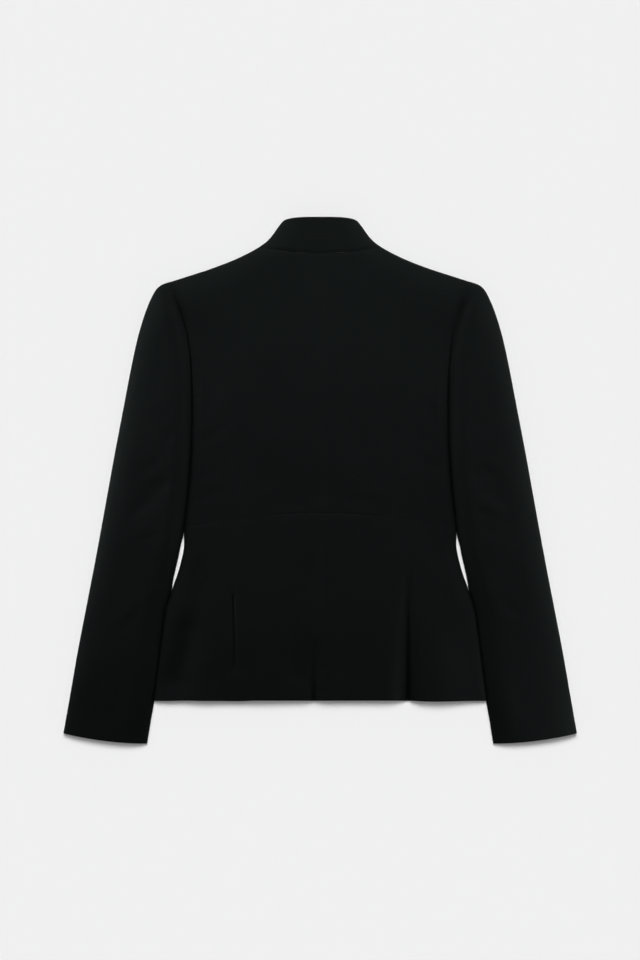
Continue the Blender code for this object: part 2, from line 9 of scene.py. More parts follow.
import bpy
import numpy as np
from mathutils import Matrix, Vector


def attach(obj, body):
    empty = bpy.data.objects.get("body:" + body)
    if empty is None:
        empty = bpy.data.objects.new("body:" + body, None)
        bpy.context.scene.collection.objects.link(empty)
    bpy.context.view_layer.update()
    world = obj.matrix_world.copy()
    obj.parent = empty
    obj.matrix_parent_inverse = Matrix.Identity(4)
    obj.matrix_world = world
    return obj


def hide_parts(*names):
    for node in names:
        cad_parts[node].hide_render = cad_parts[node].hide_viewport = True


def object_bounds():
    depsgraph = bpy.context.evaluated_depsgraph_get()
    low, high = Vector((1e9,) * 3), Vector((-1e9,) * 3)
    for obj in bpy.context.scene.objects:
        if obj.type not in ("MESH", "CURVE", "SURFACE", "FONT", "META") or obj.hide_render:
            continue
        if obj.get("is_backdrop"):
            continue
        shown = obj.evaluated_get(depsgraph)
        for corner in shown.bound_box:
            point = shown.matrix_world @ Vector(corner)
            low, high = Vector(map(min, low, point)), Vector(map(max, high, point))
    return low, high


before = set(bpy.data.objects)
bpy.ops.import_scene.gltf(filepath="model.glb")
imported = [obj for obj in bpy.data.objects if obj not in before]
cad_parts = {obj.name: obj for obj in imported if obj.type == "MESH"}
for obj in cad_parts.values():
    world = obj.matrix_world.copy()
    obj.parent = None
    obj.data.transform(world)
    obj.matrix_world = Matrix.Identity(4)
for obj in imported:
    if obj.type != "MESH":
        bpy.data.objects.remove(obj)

MM = 0.001
CAD_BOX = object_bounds()

# Driving sizes of the cut
CLOTH = 1.4  # wall of the suiting with its lining
COLLAR_CLOTH = 2.4  # wall of the interfaced collar
WAIST_Y = -42.5  # waist seam at the centre back
WAIST_DROP = 18.0  # how far the waist seam falls towards the side seams
WAIST_HALF = 175.0
HEM_Y = -286.3
NECK_Y = 295.0  # collar seam at the centre back
NECK_HALF = 79.0  # from the centre back to where the collar seam meets the shoulder
NECK_LIFT = 8.5  # how far the collar seam rises towards the shoulder
FRONT_NECK_Y = 228.0  # neckline at the centre front
NECK_POWER = 2.2  # how squarely the neckline of the fronts curves
COLLAR_TOP_Y = 341.9
COLLAR_FRONT_TOP_Y = 269.0
COLLAR_END = 0.6  # from the centre front to each end of the collar
COLLAR_POWERS = (2.0, 4.0)  # how squarely its back curves at its seam and at its top
SHOULDER_TIP = (192.8, 258.5)
SLEEVE_HEAD_LOW = 230.0  # the outline curves from here up to the shoulder tip
LAP = 15.0  # the fronts pass the centre front by this much, right over left
LAP_RISE = 2.3  # how far the left front is lifted where it lies on the right one
LAP_SLOPE = (27.0, 16.5)  # where it starts to rise, and where it is up
JOIN_Y = 159.0  # the princess seam meets the armhole here
SIDE_BACK_TOP = JOIN_Y - 2.6  # the side back ends in a point below it
HEM_ALLOWANCE = 38.0

# How the cloth lies
EDGE_TURN = 30.0  # how far in from the outer edge the upper cloth has turned level
LOW_TURN = 8.0  # how far in from a side seam the cloth on the floor lies flat
LOW_EDGE_TURN = 15.0  # and for its outer edge
EDGE_RISE = 8.5  # height of the shoulder line and of the sleeve's outer edge
COLLAR_FRONT_TURN = 12.0  # how far in from its side folds the front of the collar turns
PLAIN_TURN = 25.0  # over this distance the body's height passes into the sleeve's
WAIST_DIP = 0.15  # how far the waist seam draws the cloth down
NECK_DIP = 0.4  # the same for the collar seam
DIP_WIDTH = 6.0
CROSS_DOME = 2.2  # the back is this much lower beside the side seams
HEM_ROLL = 0.9  # radius of the folded edges of the hem and the cuffs
COLLAR_ROLL = 1.7  # radius of the collar's folded top edge

# Distances from an edge where the panels have their first points
SEWN = (0.0, 0.3, 0.7, 1.2, 2.0, 3.4)
FOLDED = (0.0, 0.1, 0.3, 0.6, 1.0, 1.8, 3.4)
TURN_ANGLES = np.radians(np.arange(0, 91, 7.5))

# About how long each panel is up the jacket: this places the close rows at its ends
BACK_LENGTH = 335.0
SIDE_BACK_LENGTH = 200.0
PEPLUM_LENGTH = 244.0
PEPLUM_SIDE_LENGTH = 230.0
FRONT_LENGTH = 300.0
COLLAR_HEIGHT = 47.0

# Points between the two ends of a row or a column
BACK_ACROSS = (26, 36)  # centre seam to below the collar's end, and on to the edge
SIDE_BACK_ACROSS = 18
PEPLUM_ACROSS = (38, 26)  # its back and its side
FRONT_ACROSS = (14, 24)
PEPLUM_FRONT_ACROSS = 36
BACK_UP = 126
SIDE_BACK_UP = 74
PEPLUM_UP = 86
FRONT_UP = 64
PEPLUM_FRONT_UP = 52
SLEEVE_UP = 196
SLEEVE_ACROSS = 30
UNDER_ACROSS = 12
COLLAR_UP = 60
COLLAR_ACROSS = 30
LAP_PLACES = (-LAP, -7.0, 1.0, 9.0, LAP_SLOPE[1], 20.0, 23.5)  # from the centre front
COLLAR_CORNER = (0.0, 1.0, 2.5)  # steps beside the line up to the collar's end
BODY_NEAR = (120.0, 170.0)  # about where the princess seam and the side seam are
PEPLUM_NEAR = (110.0, 180.0)  # the same for the peplum


class Table:
    """A short table of sizes. Each named column is a smooth curve over the first one."""

    def __init__(self, names, *rows):
        values = np.array(rows, float).T
        self.keys = values[0]
        self.columns = dict(zip(names.split(), values))

    def __call__(self, name, where):
        keys, values = self.keys, self.columns[name]
        where = np.clip(where, keys[0], keys[-1])
        step = np.diff(keys)
        slope = np.diff(values) / step
        same_way = slope[:-1] * slope[1:] > 0
        total = np.where(same_way, slope[:-1] + slope[1:], 1.0)
        middle = np.where(same_way, 2 * slope[:-1] * slope[1:] / total, 0.0)
        tangent = np.concatenate([slope[:1], middle, slope[-1:]])
        i = np.clip(np.searchsorted(keys, where, side="right") - 1, 0, len(keys) - 2)
        t = (where - keys[i]) / step[i]
        start = (1 + 2 * t) * (1 - t) ** 2 * values[i] + t * (1 - t) ** 2 * step[i] * tangent[i]
        end = t * t * (3 - 2 * t) * values[i + 1] + t * t * (t - 1) * step[i] * tangent[i + 1]
        return start + end


# Where the body and the sleeve lie side by side: the armhole seam above the underarm, and
# below it the side seam of the body, with the sleeve's inner edge beside it. share and low
# are the heights of the upper and lower cloth at that edge, as shares of the height near
# it, and fold says how roundly the cloth turns there.
SIDE = Table(
    "y      x      gap  share low   fold",
    (-342, 226.1, -0.1, 0.32, 0.32, 1),
    (-312, 221.4, -0.1, 0.32, 0.32, 1),
    (-286.3, 216.8, -0.1, 0.32, 0.32, 1),
    (-240, 210.4, -0.1, 0.32, 0.32, 1),
    (-205, 206, -0.1, 0.32, 0.32, 1),
    (-170, 201, -0.1, 0.32, 0.32, 1),
    (-147, 194.2, -0.1, 0.32, 0.32, 1),
    (-141, 192.3, 0.2, 0.32, 0.32, 1),
    (-134, 190, 1.8, 0.32, 0.32, 1),
    (-125, 186.6, 3.5, 0.32, 0.32, 1),
    (-114, 183.1, 4.5, 0.32, 0.32, 1),
    (-104, 180.5, 4.8, 0.32, 0.32, 1),
    (-94, 178.2, 4.9, 0.32, 0.32, 1),
    (-88, 177.2, 4.8, 0.32, 0.32, 1),
    (-83, 176.9, 4, 0.32, 0.32, 1),
    (-77, 176.9, 2.3, 0.32, 0.32, 1),
    (-70, 177.2, 0.3, 0.32, 0.32, 1),
    (-64, 176.9, -0.1, 0.32, 0.32, 1),
    (-43, 174.6, -0.1, 0.32, 0.32, 1),
    (-23, 172.4, -0.1, 0.32, 0.32, 1),
    (8, 169.5, -0.1, 0.34, 0.30, 1),
    (40, 167.7, -0.1, 0.39, 0.30, 0.95),
    (70, 166.7, -0.1, 0.66, 0.22, 0.55),
    (103, 166.5, -0.1, 0.82, 0.06, 0.25),
    (130, 167, -0.1, 0.88, 0, 0.1),
    (156, 168.6, -0.1, 0.90, 0, 0),
    (182, 171.6, -0.1, 0.90, 0, 0),
    (208, 178, -0.1, 0.93, 0, 0),
    (222, 183.2, -0.1, 0.955, 0, 0),
    (238, 189, -0.1, 0.98, 0, 0),
    (258.5, 192.8, -0.1, 0.99, 0, 0),
)
# How far in from the side seam or the armhole the upper cloth of each has turned level.
TURN = Table(
    "y      body  sleeve",
    (-342, 24, 34),
    (-170, 24, 34),
    (-90, 17, 24),
    (-10, 15, 15),
    (258.5, 15, 15),
)
# The outline from the top corner of the collar, down the collar and the shoulder.
SHOULDER = Table(
    "x      y",
    (47.5, 338),
    (52.8, 331.5),
    (56.6, 326.3),
    (60.2, 321.1),
    (64.2, 315.9),
    (69.5, 310.4),
    (79, 303.5),
    (93.7, 295.1),
    (115.4, 285),
    (143.9, 274.3),
    (176.3, 263.8),
    (192.8, 258.5),
)
# The outer edge of the sleeve, from the cuff to the shoulder tip.
SLEEVE_EDGE = Table(
    "y      x",
    (-328.5, 333.6),
    (-281, 325.2),
    (-218, 314.2),
    (-156, 302.2),
    (-94, 290.3),
    (-31, 278.8),
    (31, 267.6),
    (94, 255.6),
    (156, 243.6),
    (187, 236.6),
    (218, 227.2),
    (237, 219.4),
    (248, 213.2),
    (253.5, 207),
    (256.5, 200),
    (258.5, 192.8),
)
# The princess seam of the back and the peplum, and the waist seam crosses it.
PRINCESS = Table(
    "y      x",
    (-286.3, 115.5),
    (-200, 115),
    (-140, 113.5),
    (-100, 107),
    (-48, 99),
    (0, 106),
    (40, 115),
    (80, 125),
    (120, 137),
    (140, 147),
    (150, 156.5),
    (156.5, 166.6),
    (159, 168.6),
)
# Height of the upper cloth along the centre back, and of the middle of the sleeve.
HEIGHT = Table(
    "y      body  sleeve",
    (-342, 15, 14.5),
    (-286, 15.5, 15),
    (-200, 15.5, 16.5),
    (-110, 14, 18),
    (-43, 12.8, 19),
    (40, 15, 20),
    (130, 18, 21),
    (200, 20, 23.5),
    (258, 21.5, 25),
    (295, 22, 25),
    (342, 25, 25),
)
# The side folds of the collar at shares of its height.
COLLAR_FOLD = Table(
    "share x",
    (0, 78.6),
    (0.2, 69.5),
    (0.4, 62.2),
    (0.6, 57.1),
    (0.8, 53),
    (1, 47.6),
)
# Rows of the sleeve by the height where each reaches the outer edge: where it leaves the
# inner edge, how much of the armhole's curve it has, and how much it bows down.
SLEEVE_ROWS = Table(
    "outer   inner  curve bow",
    (-328.5, -342, 0, 3),
    (-284, -298, 0, 2),
    (-236, -252, 0, 1),
    (-189, -206, 0, 0.4),
    (-146, -164, 0, 0),
    (-108, -128, 0, 0),
    (-74, -96, 0, 0),
    (-41, -66, 0, 0),
    (-4, -34, 0, 0),
    (40, -8, 0.05, 0),
    (85, 16, 0.2, 0),
    (128, 34, 0.45, 0),
    (168, 49, 0.7, 0),
    (205, 61, 0.87, 0),
    (232, 69, 0.95, 0),
    (247, 74.5, 0.98, 0),
    (254.5, 78, 0.994, 0),
    (258.5, 80, 1, 0),
)
FOREARM = 0.6  # the forearm seam crosses the under side at this share of its width from outside
PROBE = 2.0  # how far in from the sleeve's outer edge its slant is measured
ARMHOLE_TURN = 0.6  # beside the armhole the steps reach this much further in
# Soft forms in the upper cloth, each round a line from one point to another: troughs where
# the depth is negative, and the fullness over the shoulder pads where it is positive.
FORMS = (
    # x, y from   x, y to       width from, to  depth from, to
    (112, -128, 111, -300, 4, 13, -1, -8.4),  # deep fold at the right princess line
    (84, -120, 86, -300, 12, 17, 0.3, 1.6),
    (150, -150, 156, -300, 16, 20, 0.5, 3),
    (-113.4, -146, -111.4, -246, 3, 4.5, -0.6, -1.2),  # fold at the left princess line
    (-8, -215, -9, -300, 6, 8, -0.8, -4.2),  # fold at the centre of the hem
    (14, -190, 16, -300, 9, 13, 0.4, 1.8),
    (-31, -150, -33, -250, 9, 12, -0.8, -1.8),
    (-62, -130, -64, -300, 18, 24, 0.3, 2.2),
    (-146, -104, -186, -258, 13, 19, -0.3, -4.4),  # hollow across the left hip
    (-192, -308, -174, -196, 14, 19, 0, -3),
    (-150, -240, -146, -300, 14, 18, 1.2, 2.4),
    (186, -170, 200, -300, 10, 14, -0.6, -2.2),
    (140, 238, 196, 226, 34, 26, 3.6, 3),  # right shoulder pad
    (-140, 238, -196, 226, 34, 26, 3.6, 3),
    (80, 170, 92, 90, 42, 46, 1.6, 1),  # shoulder blades
    (-80, 170, -92, 90, 42, 46, 1.6, 1),
    (0, 250, 0, -20, 12, 9, -0.7, -1.2),  # hollow down the centre back
    (203, 10, 252, -20, 9, 14, -1.8, -0.6),  # creases at the bend of the elbow
    (-205, -4, -250, -38, 9, 13, -1.9, -0.6),
    (207, -40, 246, -62, 8, 11, -1.3, -0.5),
    (116.6, -118, 114.4, -300, 1.5, 4, -0.4, -4.6),  # crisp bottoms of the peplum's folds
    (122.6, -190, 124.2, -300, 1.6, 3.6, 0, -1.8),
    (118.6, -176, 119.2, -300, 1.2, 1.8, 0, 0.9),
    (-113.2, -150, -111, -240, 1.1, 1.3, -1.7, -1),
    (-7.6, -230, -7.4, -300, 1.6, 4, 0, -2.2),
    (2.4, -190, 2, -245, 1, 1.2, -0.2, -0.35),
    (-196, 58, -232, 78, 9, 13, -1.3, -0.5),
)
HEM_WAVES = (
    # x, rise, width
    (5, 1, 90),
    (90, 0.8, 22),
    (150, -0.9, 30),
    (-60, 0.6, 40),
    (-104, -0.6, 20),
    (-176, 0.5, 14),
)
# Small creases, each a trough with a soft ridge beside it, on a line that may bend.
CREASES = (
    # x, y from     x, y to      width depth bend
    (158, 62, 118, 118, 7, 0.70, 4),  # drag lines from the underarms
    (160, 38, 112, 72, 8, 0.55, -3),
    (161, 14, 124, 30, 6, 0.40, 2),
    (-159, 70, -124, 132, 8, 0.60, -4),
    (-161, 44, -108, 90, 7, 0.70, 3),
    (-160, 8, -130, 12, 6, 0.45, 2),
    (34, 236, 46, 168, 12, 0.50, 5),  # soft ones between the shoulder blades
    (-40, 228, -31, 176, 11, 0.45, -4),
    (118, 244, 96, 206, 10, 0.40, 3),
    (-112, 246, -92, 214, 9, 0.40, -3),
    (20, 288, 52, 276, 6, 0.35, -2),  # below the collar
    (-24, 287, -60, 279, 6, 0.35, 2),
    (86, -30, 30, -24, 6, 0.50, 2),  # across the waist
    (-20, -31, -78, -26, 6, 0.45, -3),
    (166, -22, 128, -8, 6, 0.50, 2),
    (-165, -30, -120, -12, 7, 0.55, -2),
    (62, -52, 74, -108, 7, 0.45, 3),  # down from the waist seam
    (30, -50, 26, -92, 6, 0.35, -2),
    (-44, -52, -52, -116, 7, 0.40, -3),
    (-84, -54, -96, -104, 7, 0.45, 2),
    (138, -60, 158, -118, 8, 0.50, 3),
    (-140, -64, -160, -128, 8, 0.50, -3),
    (186, 112, 206, 66, 8, 0.80, 4),  # upper sleeves
    (182, 84, 198, 40, 7, 0.60, -3),
    (206, 226, 212, 196, 5, 0.35, 1),
    (-187, 120, -210, 74, 8, 0.75, -4),
    (-183, 88, -200, 34, 7, 0.65, 3),
    (-204, 228, -214, 192, 5, 0.40, -1),
    (-7, 315.9, 18.5, 315.7, 0.9, 0.55, 0),  # below the stitches of the collar
    (206, 26, 236, 2, 7, 0.90, 3),  # elbows
    (204, -16, 246, -34, 8, 1.00, -4),
    (209, -58, 240, -74, 7, 0.70, 3),
    (280, -40, 258, -58, 7, 0.50, 2),
    (-206, 30, -238, 12, 7, 0.80, -3),
    (-205, -24, -250, -50, 8, 1.00, 4),
    (-208, -66, -238, -78, 6, 0.60, -2),
    (-278, -22, -256, -46, 7, 0.50, -2),
    (232, -150, 262, -176, 7, 0.60, 3),  # forearms
    (300, -190, 276, -232, 8, 0.55, -3),
    (256, -262, 268, -306, 8, 0.40, 2),
    (-230, -160, -264, -196, 7, 0.60, -3),
    (-296, -200, -280, -262, 8, 0.50, 3),
    (-258, -258, -262, -300, 8, 0.45, -2),
)
# Long waves of cloth that isn't stretched flat.
RUMPLE = (
    # length, direction in degrees, start in degrees, height
    (173, 20, 40, 0.34),
    (131, 100, 200, 0.30),
    (97, 65, 310, 0.20),
    (71, 150, 95, 0.13),
    (53, 35, 150, 0.08),
    (41, 120, 265, 0.05),
)
# How those waves wander from straight lines: twice across the jacket, and once up it.
RUMPLE_SWAY = (
    # reach, length of its wave over 2 pi, start in radians
    (14.0, 61.0, 0.7),
    (7.0, 23.0, 0.0),
    (14.0, 47.0, 2.1),
)
CREASE_RIDGE = (0.55, 1.7, 1.2)  # height, distance and width of its ridge, in a crease's own
CREASE_FADE = 0.75  # how soon a crease fades towards its ends
# Seams seen on the upper cloth: the furrow where the pieces meet, the faint ridge over the
# edge of the allowances, and the small puckers of the sewing.
SEAM_LOOK = {
    # depth, half width below or inside, half width above or outside, ridge, pucker
    "centre": (0.08, 0.7, 0.7, 0.02, 0.02),
    "princess": (0.08, 0.7, 0.7, 0.02, 0.03),
    "waist": (0.45, 0.9, 1.0, 0.05, 0.06),
    "neck": (1.60, 1.0, 2.9, 0.04, 0.05),
    "armhole": (1.00, 1.0, 1.0, 0.10, 0.10),
}
# How deep the rolls of cloth beside each armhole seam make it look.
ARMHOLE_GROOVE = Table(
    "y      left right wide",
    (55, 0, 0, 1.5),
    (100, 3.8, 3.6, 1.5),
    (150, 3, 2.7, 1.2),
    (200, 1.5, 0.7, 1),
    (225, 0.6, 0.1, 0.8),
    (245, 0.2, 0.05, 0.8),
    (258.5, 0.1, 0.05, 0.8),
)
# How much of the waist seam shows along it.
WAIST_SHOWS = Table(
    "x      share",
    (-172, 0.3),
    (-160, 0.5),
    (-148, 0.5),
    (-138, 0.12),
    (-64, 0.12),
    (-52, 1),
    (80, 1),
    (92, 0.15),
    (150, 0.12),
    (172, 0.3),
)
PUCKERS = (
    # length, start in degrees, share
    (8.7, 20, 0.4),
    (12.1, 130, 0.5),
    (18.9, 250, 0.6),
)
PUCKER_REACH = 6.0
PUCKER_SHIFT = {"princess": 31.0, "armhole": 17.0}  # so that left and right ones differ
RIDGE_AT = 9.0
RIDGE_WIDE = 2.6
# Where a seam fades, and over how far
PRINCESS_FADE = (JOIN_Y - 8.0, 10.0)  # the princess seam, below the armhole
NECK_FADE = (-3.0, 6.0)  # the centre seam, at the collar seam
NECK_END_FADE = (NECK_HALF + 4.0, 6.0)  # the collar seam, inwards from past its end
SLEEVE_HEAD = (1.1, 9.0, 7.0)  # height, distance from the armhole seam and width of its roll
SLEEVE_HEAD_STARTS = (120.0, 70.0)  # its foot up the sleeve, and over how far it grows
PRESSED_REACH = 9.0  # how far from seams the cloth shows the press
HEM_PRESS = (0.6, 0.5 * HEM_ALLOWANCE)  # how much the hem shows it, and how far up
# The edge of the hem's allowance: up from the hem, width, height
HEM_MARK = (HEM_ALLOWANCE - 3.0, 2.2, 0.12)


def ease(share):
    """0 to 1 with level ends."""
    share = np.clip(share, 0, 1)
    return share * share * (3 - 2 * share)


def turned(share):
    """0 at a turned edge and 1 where the cloth is level, along a quarter of an ellipse."""
    return np.sqrt(1 - (1 - np.clip(share, 0, 1)) ** 2)


def hump(away, wide):
    return np.exp(-((away / wide) ** 2))


def outline_points():
    """The outer edge of the jacket in plan, on one side, from the collar to the cuff."""
    x = np.linspace(SHOULDER.keys[0], SHOULDER_TIP[0], 70)
    near_tip = np.linspace(SHOULDER_TIP[1], SLEEVE_HEAD_LOW, 60)
    y = np.concatenate([near_tip[1:], np.linspace(SLEEVE_HEAD_LOW, SLEEVE_EDGE.keys[0], 90)[1:]])
    shoulder = np.stack([x, SHOULDER("y", x)], 1)
    return np.concatenate([shoulder, np.stack([SLEEVE_EDGE("x", y), y], 1)])


OUTLINE = outline_points()
AT_ONCE = 4000  # numbers measured at a time, to spare memory


def distance_in(across, y):
    """How far points of the plan are from the outer edge."""
    start, step = OUTLINE[:-1], np.diff(OUTLINE, axis=0)
    length = (step**2).sum(-1)
    points = np.stack([across, y], -1)
    nearest = []
    for some in np.array_split(points.reshape(-1, 1, 2), 1 + points.size // AT_ONCE):
        t = np.clip(((some - start) * step).sum(-1) / length, 0, 1)
        away = start + t[..., None] * step - some
        nearest.append(np.sqrt((away**2).sum(-1).min(-1)))
    return np.concatenate(nearest).reshape(np.shape(across))


def sleeve_side(y):
    """Where the sleeve lies beside the body."""
    return SIDE("x", y) + SIDE("gap", y)


def waist_y(x):
    return WAIST_Y - WAIST_DROP * (x / WAIST_HALF) ** 2


def neck_y(x):
    return NECK_Y + NECK_LIFT * (x / NECK_HALF) ** 2


def hem_y(x):
    """The hem, drawn up a little where a wave of the peplum stands high."""
    return HEM_Y + sum(rise * hump(x - at, wide) for at, rise, wide in HEM_WAVES)


def plain_height(x, y):
    """Height of the upper cloth away from its edges, without its soft forms."""
    across, side = np.abs(x), SIDE("x", y)
    inside = np.minimum(across, side)
    body = HEIGHT("body", y) - CROSS_DOME * (inside / side) ** 2
    over_sleeve = ease((across - side) / PLAIN_TURN)
    return body + (HEIGHT("sleeve", y) - body) * over_sleeve


def from_line(x, y, x0, y0, x1, y1):
    """How far along a line points are, as a share of it, how far to its side, and its length."""
    along_x, along_y = x1 - x0, y1 - y0
    length = np.hypot(along_x, along_y)
    t = ((x - x0) * along_x + (y - y0) * along_y) / length**2
    return t, ((x - x0) * along_y - (y - y0) * along_x) / length, length


def form_height(x, y):
    """What the soft forms add to the upper cloth."""
    total = np.zeros_like(x)
    for x0, y0, x1, y1, wide0, wide1, deep0, deep1 in FORMS:
        along, aside, length = from_line(x, y, x0, y0, x1, y1)
        t = np.clip(along, 0, 1)
        away = np.hypot(aside, (along - t) * length)
        total += (deep0 + t * (deep1 - deep0)) * hump(away, wide0 + t * (wide1 - wide0))
    return total


def crease_height(x, y):
    """What the small creases add: a trough and a soft ridge on its lower side."""
    total = np.zeros_like(x)
    for x0, y0, x1, y1, wide, deep, bend in CREASES:
        t, aside, _ = from_line(x, y, x0, y0, x1, y1)
        away = aside - bend * 4 * t * (1 - t)
        fade = np.clip(4 * t * (1 - t), 0, 1) ** CREASE_FADE
        high, at, broad = CREASE_RIDGE
        ridge = high * hump(away - at * wide, broad * wide)
        total += deep * fade * (ridge - hump(away, wide))
    return total


def rumple_height(x, y):
    """Long shallow waves, none of them straight."""
    sway = [
        reach * np.sin(place / length + start)
        for place, (reach, length, start) in zip((y, y, x), RUMPLE_SWAY)
    ]
    sway_x, sway_y = x + sway[0] + sway[1], y + sway[2]
    total = np.zeros_like(x)
    for length, way, start, high in RUMPLE:
        way, start = np.radians(way), np.radians(start)
        along = sway_x * np.cos(way) + sway_y * np.sin(way)
        total += high * np.sin(2 * np.pi * along / length + start)
    return total


def seams_near(x, y):
    """For each seam: its name, how far points are past it, their place along it, its weight."""
    across, side = np.abs(x), SIDE("x", y)
    on_body = (across <= side + 0.3 * SIDE("gap", y)) * 1.0
    shift = {name: y + by * np.sign(x) for name, by in PUCKER_SHIFT.items()}
    below_join = 1 - ease((y - PRINCESS_FADE[0]) / PRINCESS_FADE[1])
    above_neck = ease((y - neck_y(x) - NECK_FADE[0]) / NECK_FADE[1])
    below_collar = ease((NECK_END_FADE[0] - across) / NECK_END_FADE[1])
    yield "centre", across, y, on_body * (1 - above_neck)
    yield "princess", across - PRINCESS("x", y), shift["princess"], on_body * below_join
    yield "waist", y - waist_y(x), x, on_body * WAIST_SHOWS("share", x)
    yield "neck", y - neck_y(x), x, on_body * below_collar
    at_armhole = (across - side - 0.5 * SIDE("gap", y)) / ARMHOLE_GROOVE("wide", y)
    deep = np.where(x < 0, ARMHOLE_GROOVE("left", y), ARMHOLE_GROOVE("right", y))
    yield "armhole", at_armhole, shift["armhole"], deep


def seam_height(x, y):
    """What the seams take from the upper cloth and add to it."""
    total = np.zeros_like(x)
    for name, away, along, weight in seams_near(x, y):
        depth, low_wide, high_wide, ridge, pucker = SEAM_LOOK[name]
        wide = np.where(away < 0, low_wide, high_wide)
        away = np.abs(away)
        waves = sum(s * np.sin(2 * np.pi * along / l + np.radians(p)) for l, p, s in PUCKERS)
        relief = ridge * hump(away - RIDGE_AT, RIDGE_WIDE) - depth * hump(away, wide)
        total += weight * (relief + pucker * waves * hump(away, PUCKER_REACH))
    return total


def sleeve_head_height(x, y):
    """The roll of cloth that the sleeve head makes beside the armhole seam."""
    high, at, wide = SLEEVE_HEAD
    away = np.abs(x) - sleeve_side(y)
    foot, growth = SLEEVE_HEAD_STARTS
    return high * hump(away - at, wide) * ease((y - foot) / growth) * (away > 0)


def hem_mark_height(x, y):
    """The hem's allowance, which shows as a faint ridge at its upper edge."""
    up, wide, high = HEM_MARK
    on_body = (np.abs(x) < SIDE("x", y)) * 1.0
    return high * hump(y - hem_y(x) - up, wide) * on_body


def level_height(x, y):
    """Height of the upper cloth away from its edges."""
    on_body = 1 - ease((np.abs(x) - SIDE("x", y)) / PLAIN_TURN)
    at_waist = hump(y - waist_y(x), DIP_WIDTH) * on_body
    at_neck = hump(y - neck_y(x), DIP_WIDTH)
    height = plain_height(x, y) + form_height(x, y)
    return height - WAIST_DIP * at_waist - NECK_DIP * at_neck


def from_side(across, y):
    """How far points are from the edge of the body or of the sleeve beside it."""
    return np.maximum(SIDE("x", y) - across, across - sleeve_side(y))


def side_shape(across, y):
    """0 at the side seam or armhole, and 1 where the cloth beside it has turned level."""
    turn = np.where(across < SIDE("x", y), TURN("body", y), TURN("sleeve", y))
    away = from_side(across, y) / turn
    fold = SIDE("fold", y)
    return (1 - fold) * ease(away) + fold * turned(away)


def upper_height(x, y):
    """Outer face of the upper cloth: the back, the back of the collar and the sleeves."""
    across = np.abs(x)
    side_edge = plain_height(SIDE("x", y), y) * SIDE("share", y)
    shape = side_shape(across, y)
    height = side_edge + (level_height(x, y) - side_edge) * shape
    over_edge = np.maximum(height - EDGE_RISE, 0)
    edge_shape = turned(distance_in(across, y) / EDGE_TURN)
    height = height - over_edge * (1 - edge_shape)
    soft = crease_height(x, y) + rumple_height(x, y) + sleeve_head_height(x, y)
    return height + (soft * shape + seam_height(x, y) + hem_mark_height(x, y)) * edge_shape


def lower_height(x, y):
    """Outer face of the lower cloth, flat on the floor but for its turned edges."""
    across = np.abs(x)
    beside = plain_height(SIDE("x", y), y)
    at_side = beside * SIDE("low", y) * (1 - turned(from_side(across, y) / LOW_TURN))
    at_edge = EDGE_RISE * (1 - turned(distance_in(across, y) / LOW_EDGE_TURN))
    return np.maximum(at_side, at_edge)


def turn_steps(width, fold=1.0):
    """Distances from a turned edge, close together where the cloth turns most."""
    round_steps = width * (1 - np.cos(TURN_ANGLES))
    rest = len(TURN_ANGLES) - len(SEWN)
    even_steps = np.array([*SEWN, *np.linspace(SEWN[-1], width, rest + 1)[1:]])
    return fold * round_steps + (1 - fold) * even_steps


def spaced(length, start, end, inner):
    """Places from 0 to 1 along a row of this length: close steps at both ends."""
    start, end = np.asarray(start, float), np.asarray(end, float)
    shrink = min(1.0, 0.9 * length / (start[-1] + end[-1]))
    start, end = start * shrink, end * shrink
    middle = np.linspace(start[-1], length - end[-1], inner + 2)[1:-1]
    return np.concatenate([start, middle, length - end[::-1]]) / length


def between(first, last, start, end, inner):
    """Places from one distance across the jacket to another, with close steps at both ends."""
    return first + spaced(abs(last - first), start, end, inner) * (last - first)


def solve_across(edge, row_y, start):
    """Where a slanting row meets an edge that is known by its height on the jacket."""
    across = start
    for _ in range(30):
        across = float(edge(row_y(across)))
    return across


def row_between(low, high, share):
    """A row that lies at this share of the way from one curve of the plan to another."""
    return lambda across: (1 - share) * low(across) + share * high(across)


def upper_row(side, across, y):
    """A row of the upper cloth on one side, ordered so that its face points up."""
    x = side * across
    row = np.stack([x, y, upper_height(x, y)], 1)
    return row if side > 0 else row[::-1]


def lower_row(side, across, y):
    """A row of a front, ordered so that its face points down. The left one rises at its lap."""
    x = side * across
    height = lower_height(x, y)
    if side < 0:
        start, end = LAP_SLOPE
        height = height + LAP_RISE * np.clip((x + start) / (start - end), 0, 1)
    row = np.stack([x, y, height], 1)[::-1]
    return row if side > 0 else row[::-1]


def grid_normals(points):
    """Outward directions of a panel's points."""
    along = np.gradient(points, axis=0)
    across = np.gradient(points, axis=1)
    normal = np.cross(across, along)
    return normal / np.maximum(np.linalg.norm(normal, axis=2, keepdims=True), 1e-9)


def lengths(points, axis):
    """How far each point is from the panel's first edge, over the cloth."""
    steps = np.linalg.norm(np.diff(points, axis=axis), axis=2)
    zero = np.zeros_like(np.take(steps, [0], axis=axis))
    return np.concatenate([zero, np.cumsum(steps, axis=axis)], axis=axis)


def rolled(points, radius, last=False):
    """The panel with its first or last row rolled in to a folded edge."""
    away = lengths(points, 0)
    if last:
        away = away[-1:] - away
    drop = radius * (1 - turned(away / radius))
    return points - grid_normals(points) * drop[..., None]


def shoulder_y(across):
    """Top edge of the body above a point: collar seam, then shoulder line."""
    return np.where(across < NECK_HALF, neck_y(across), SHOULDER("y", np.maximum(across, NECK_HALF)))


def back_edge(y):
    """Outer edge of the centre back: the princess seam, and the armhole above it."""
    return np.where(y < JOIN_Y, PRINCESS("x", y), SIDE("x", y))


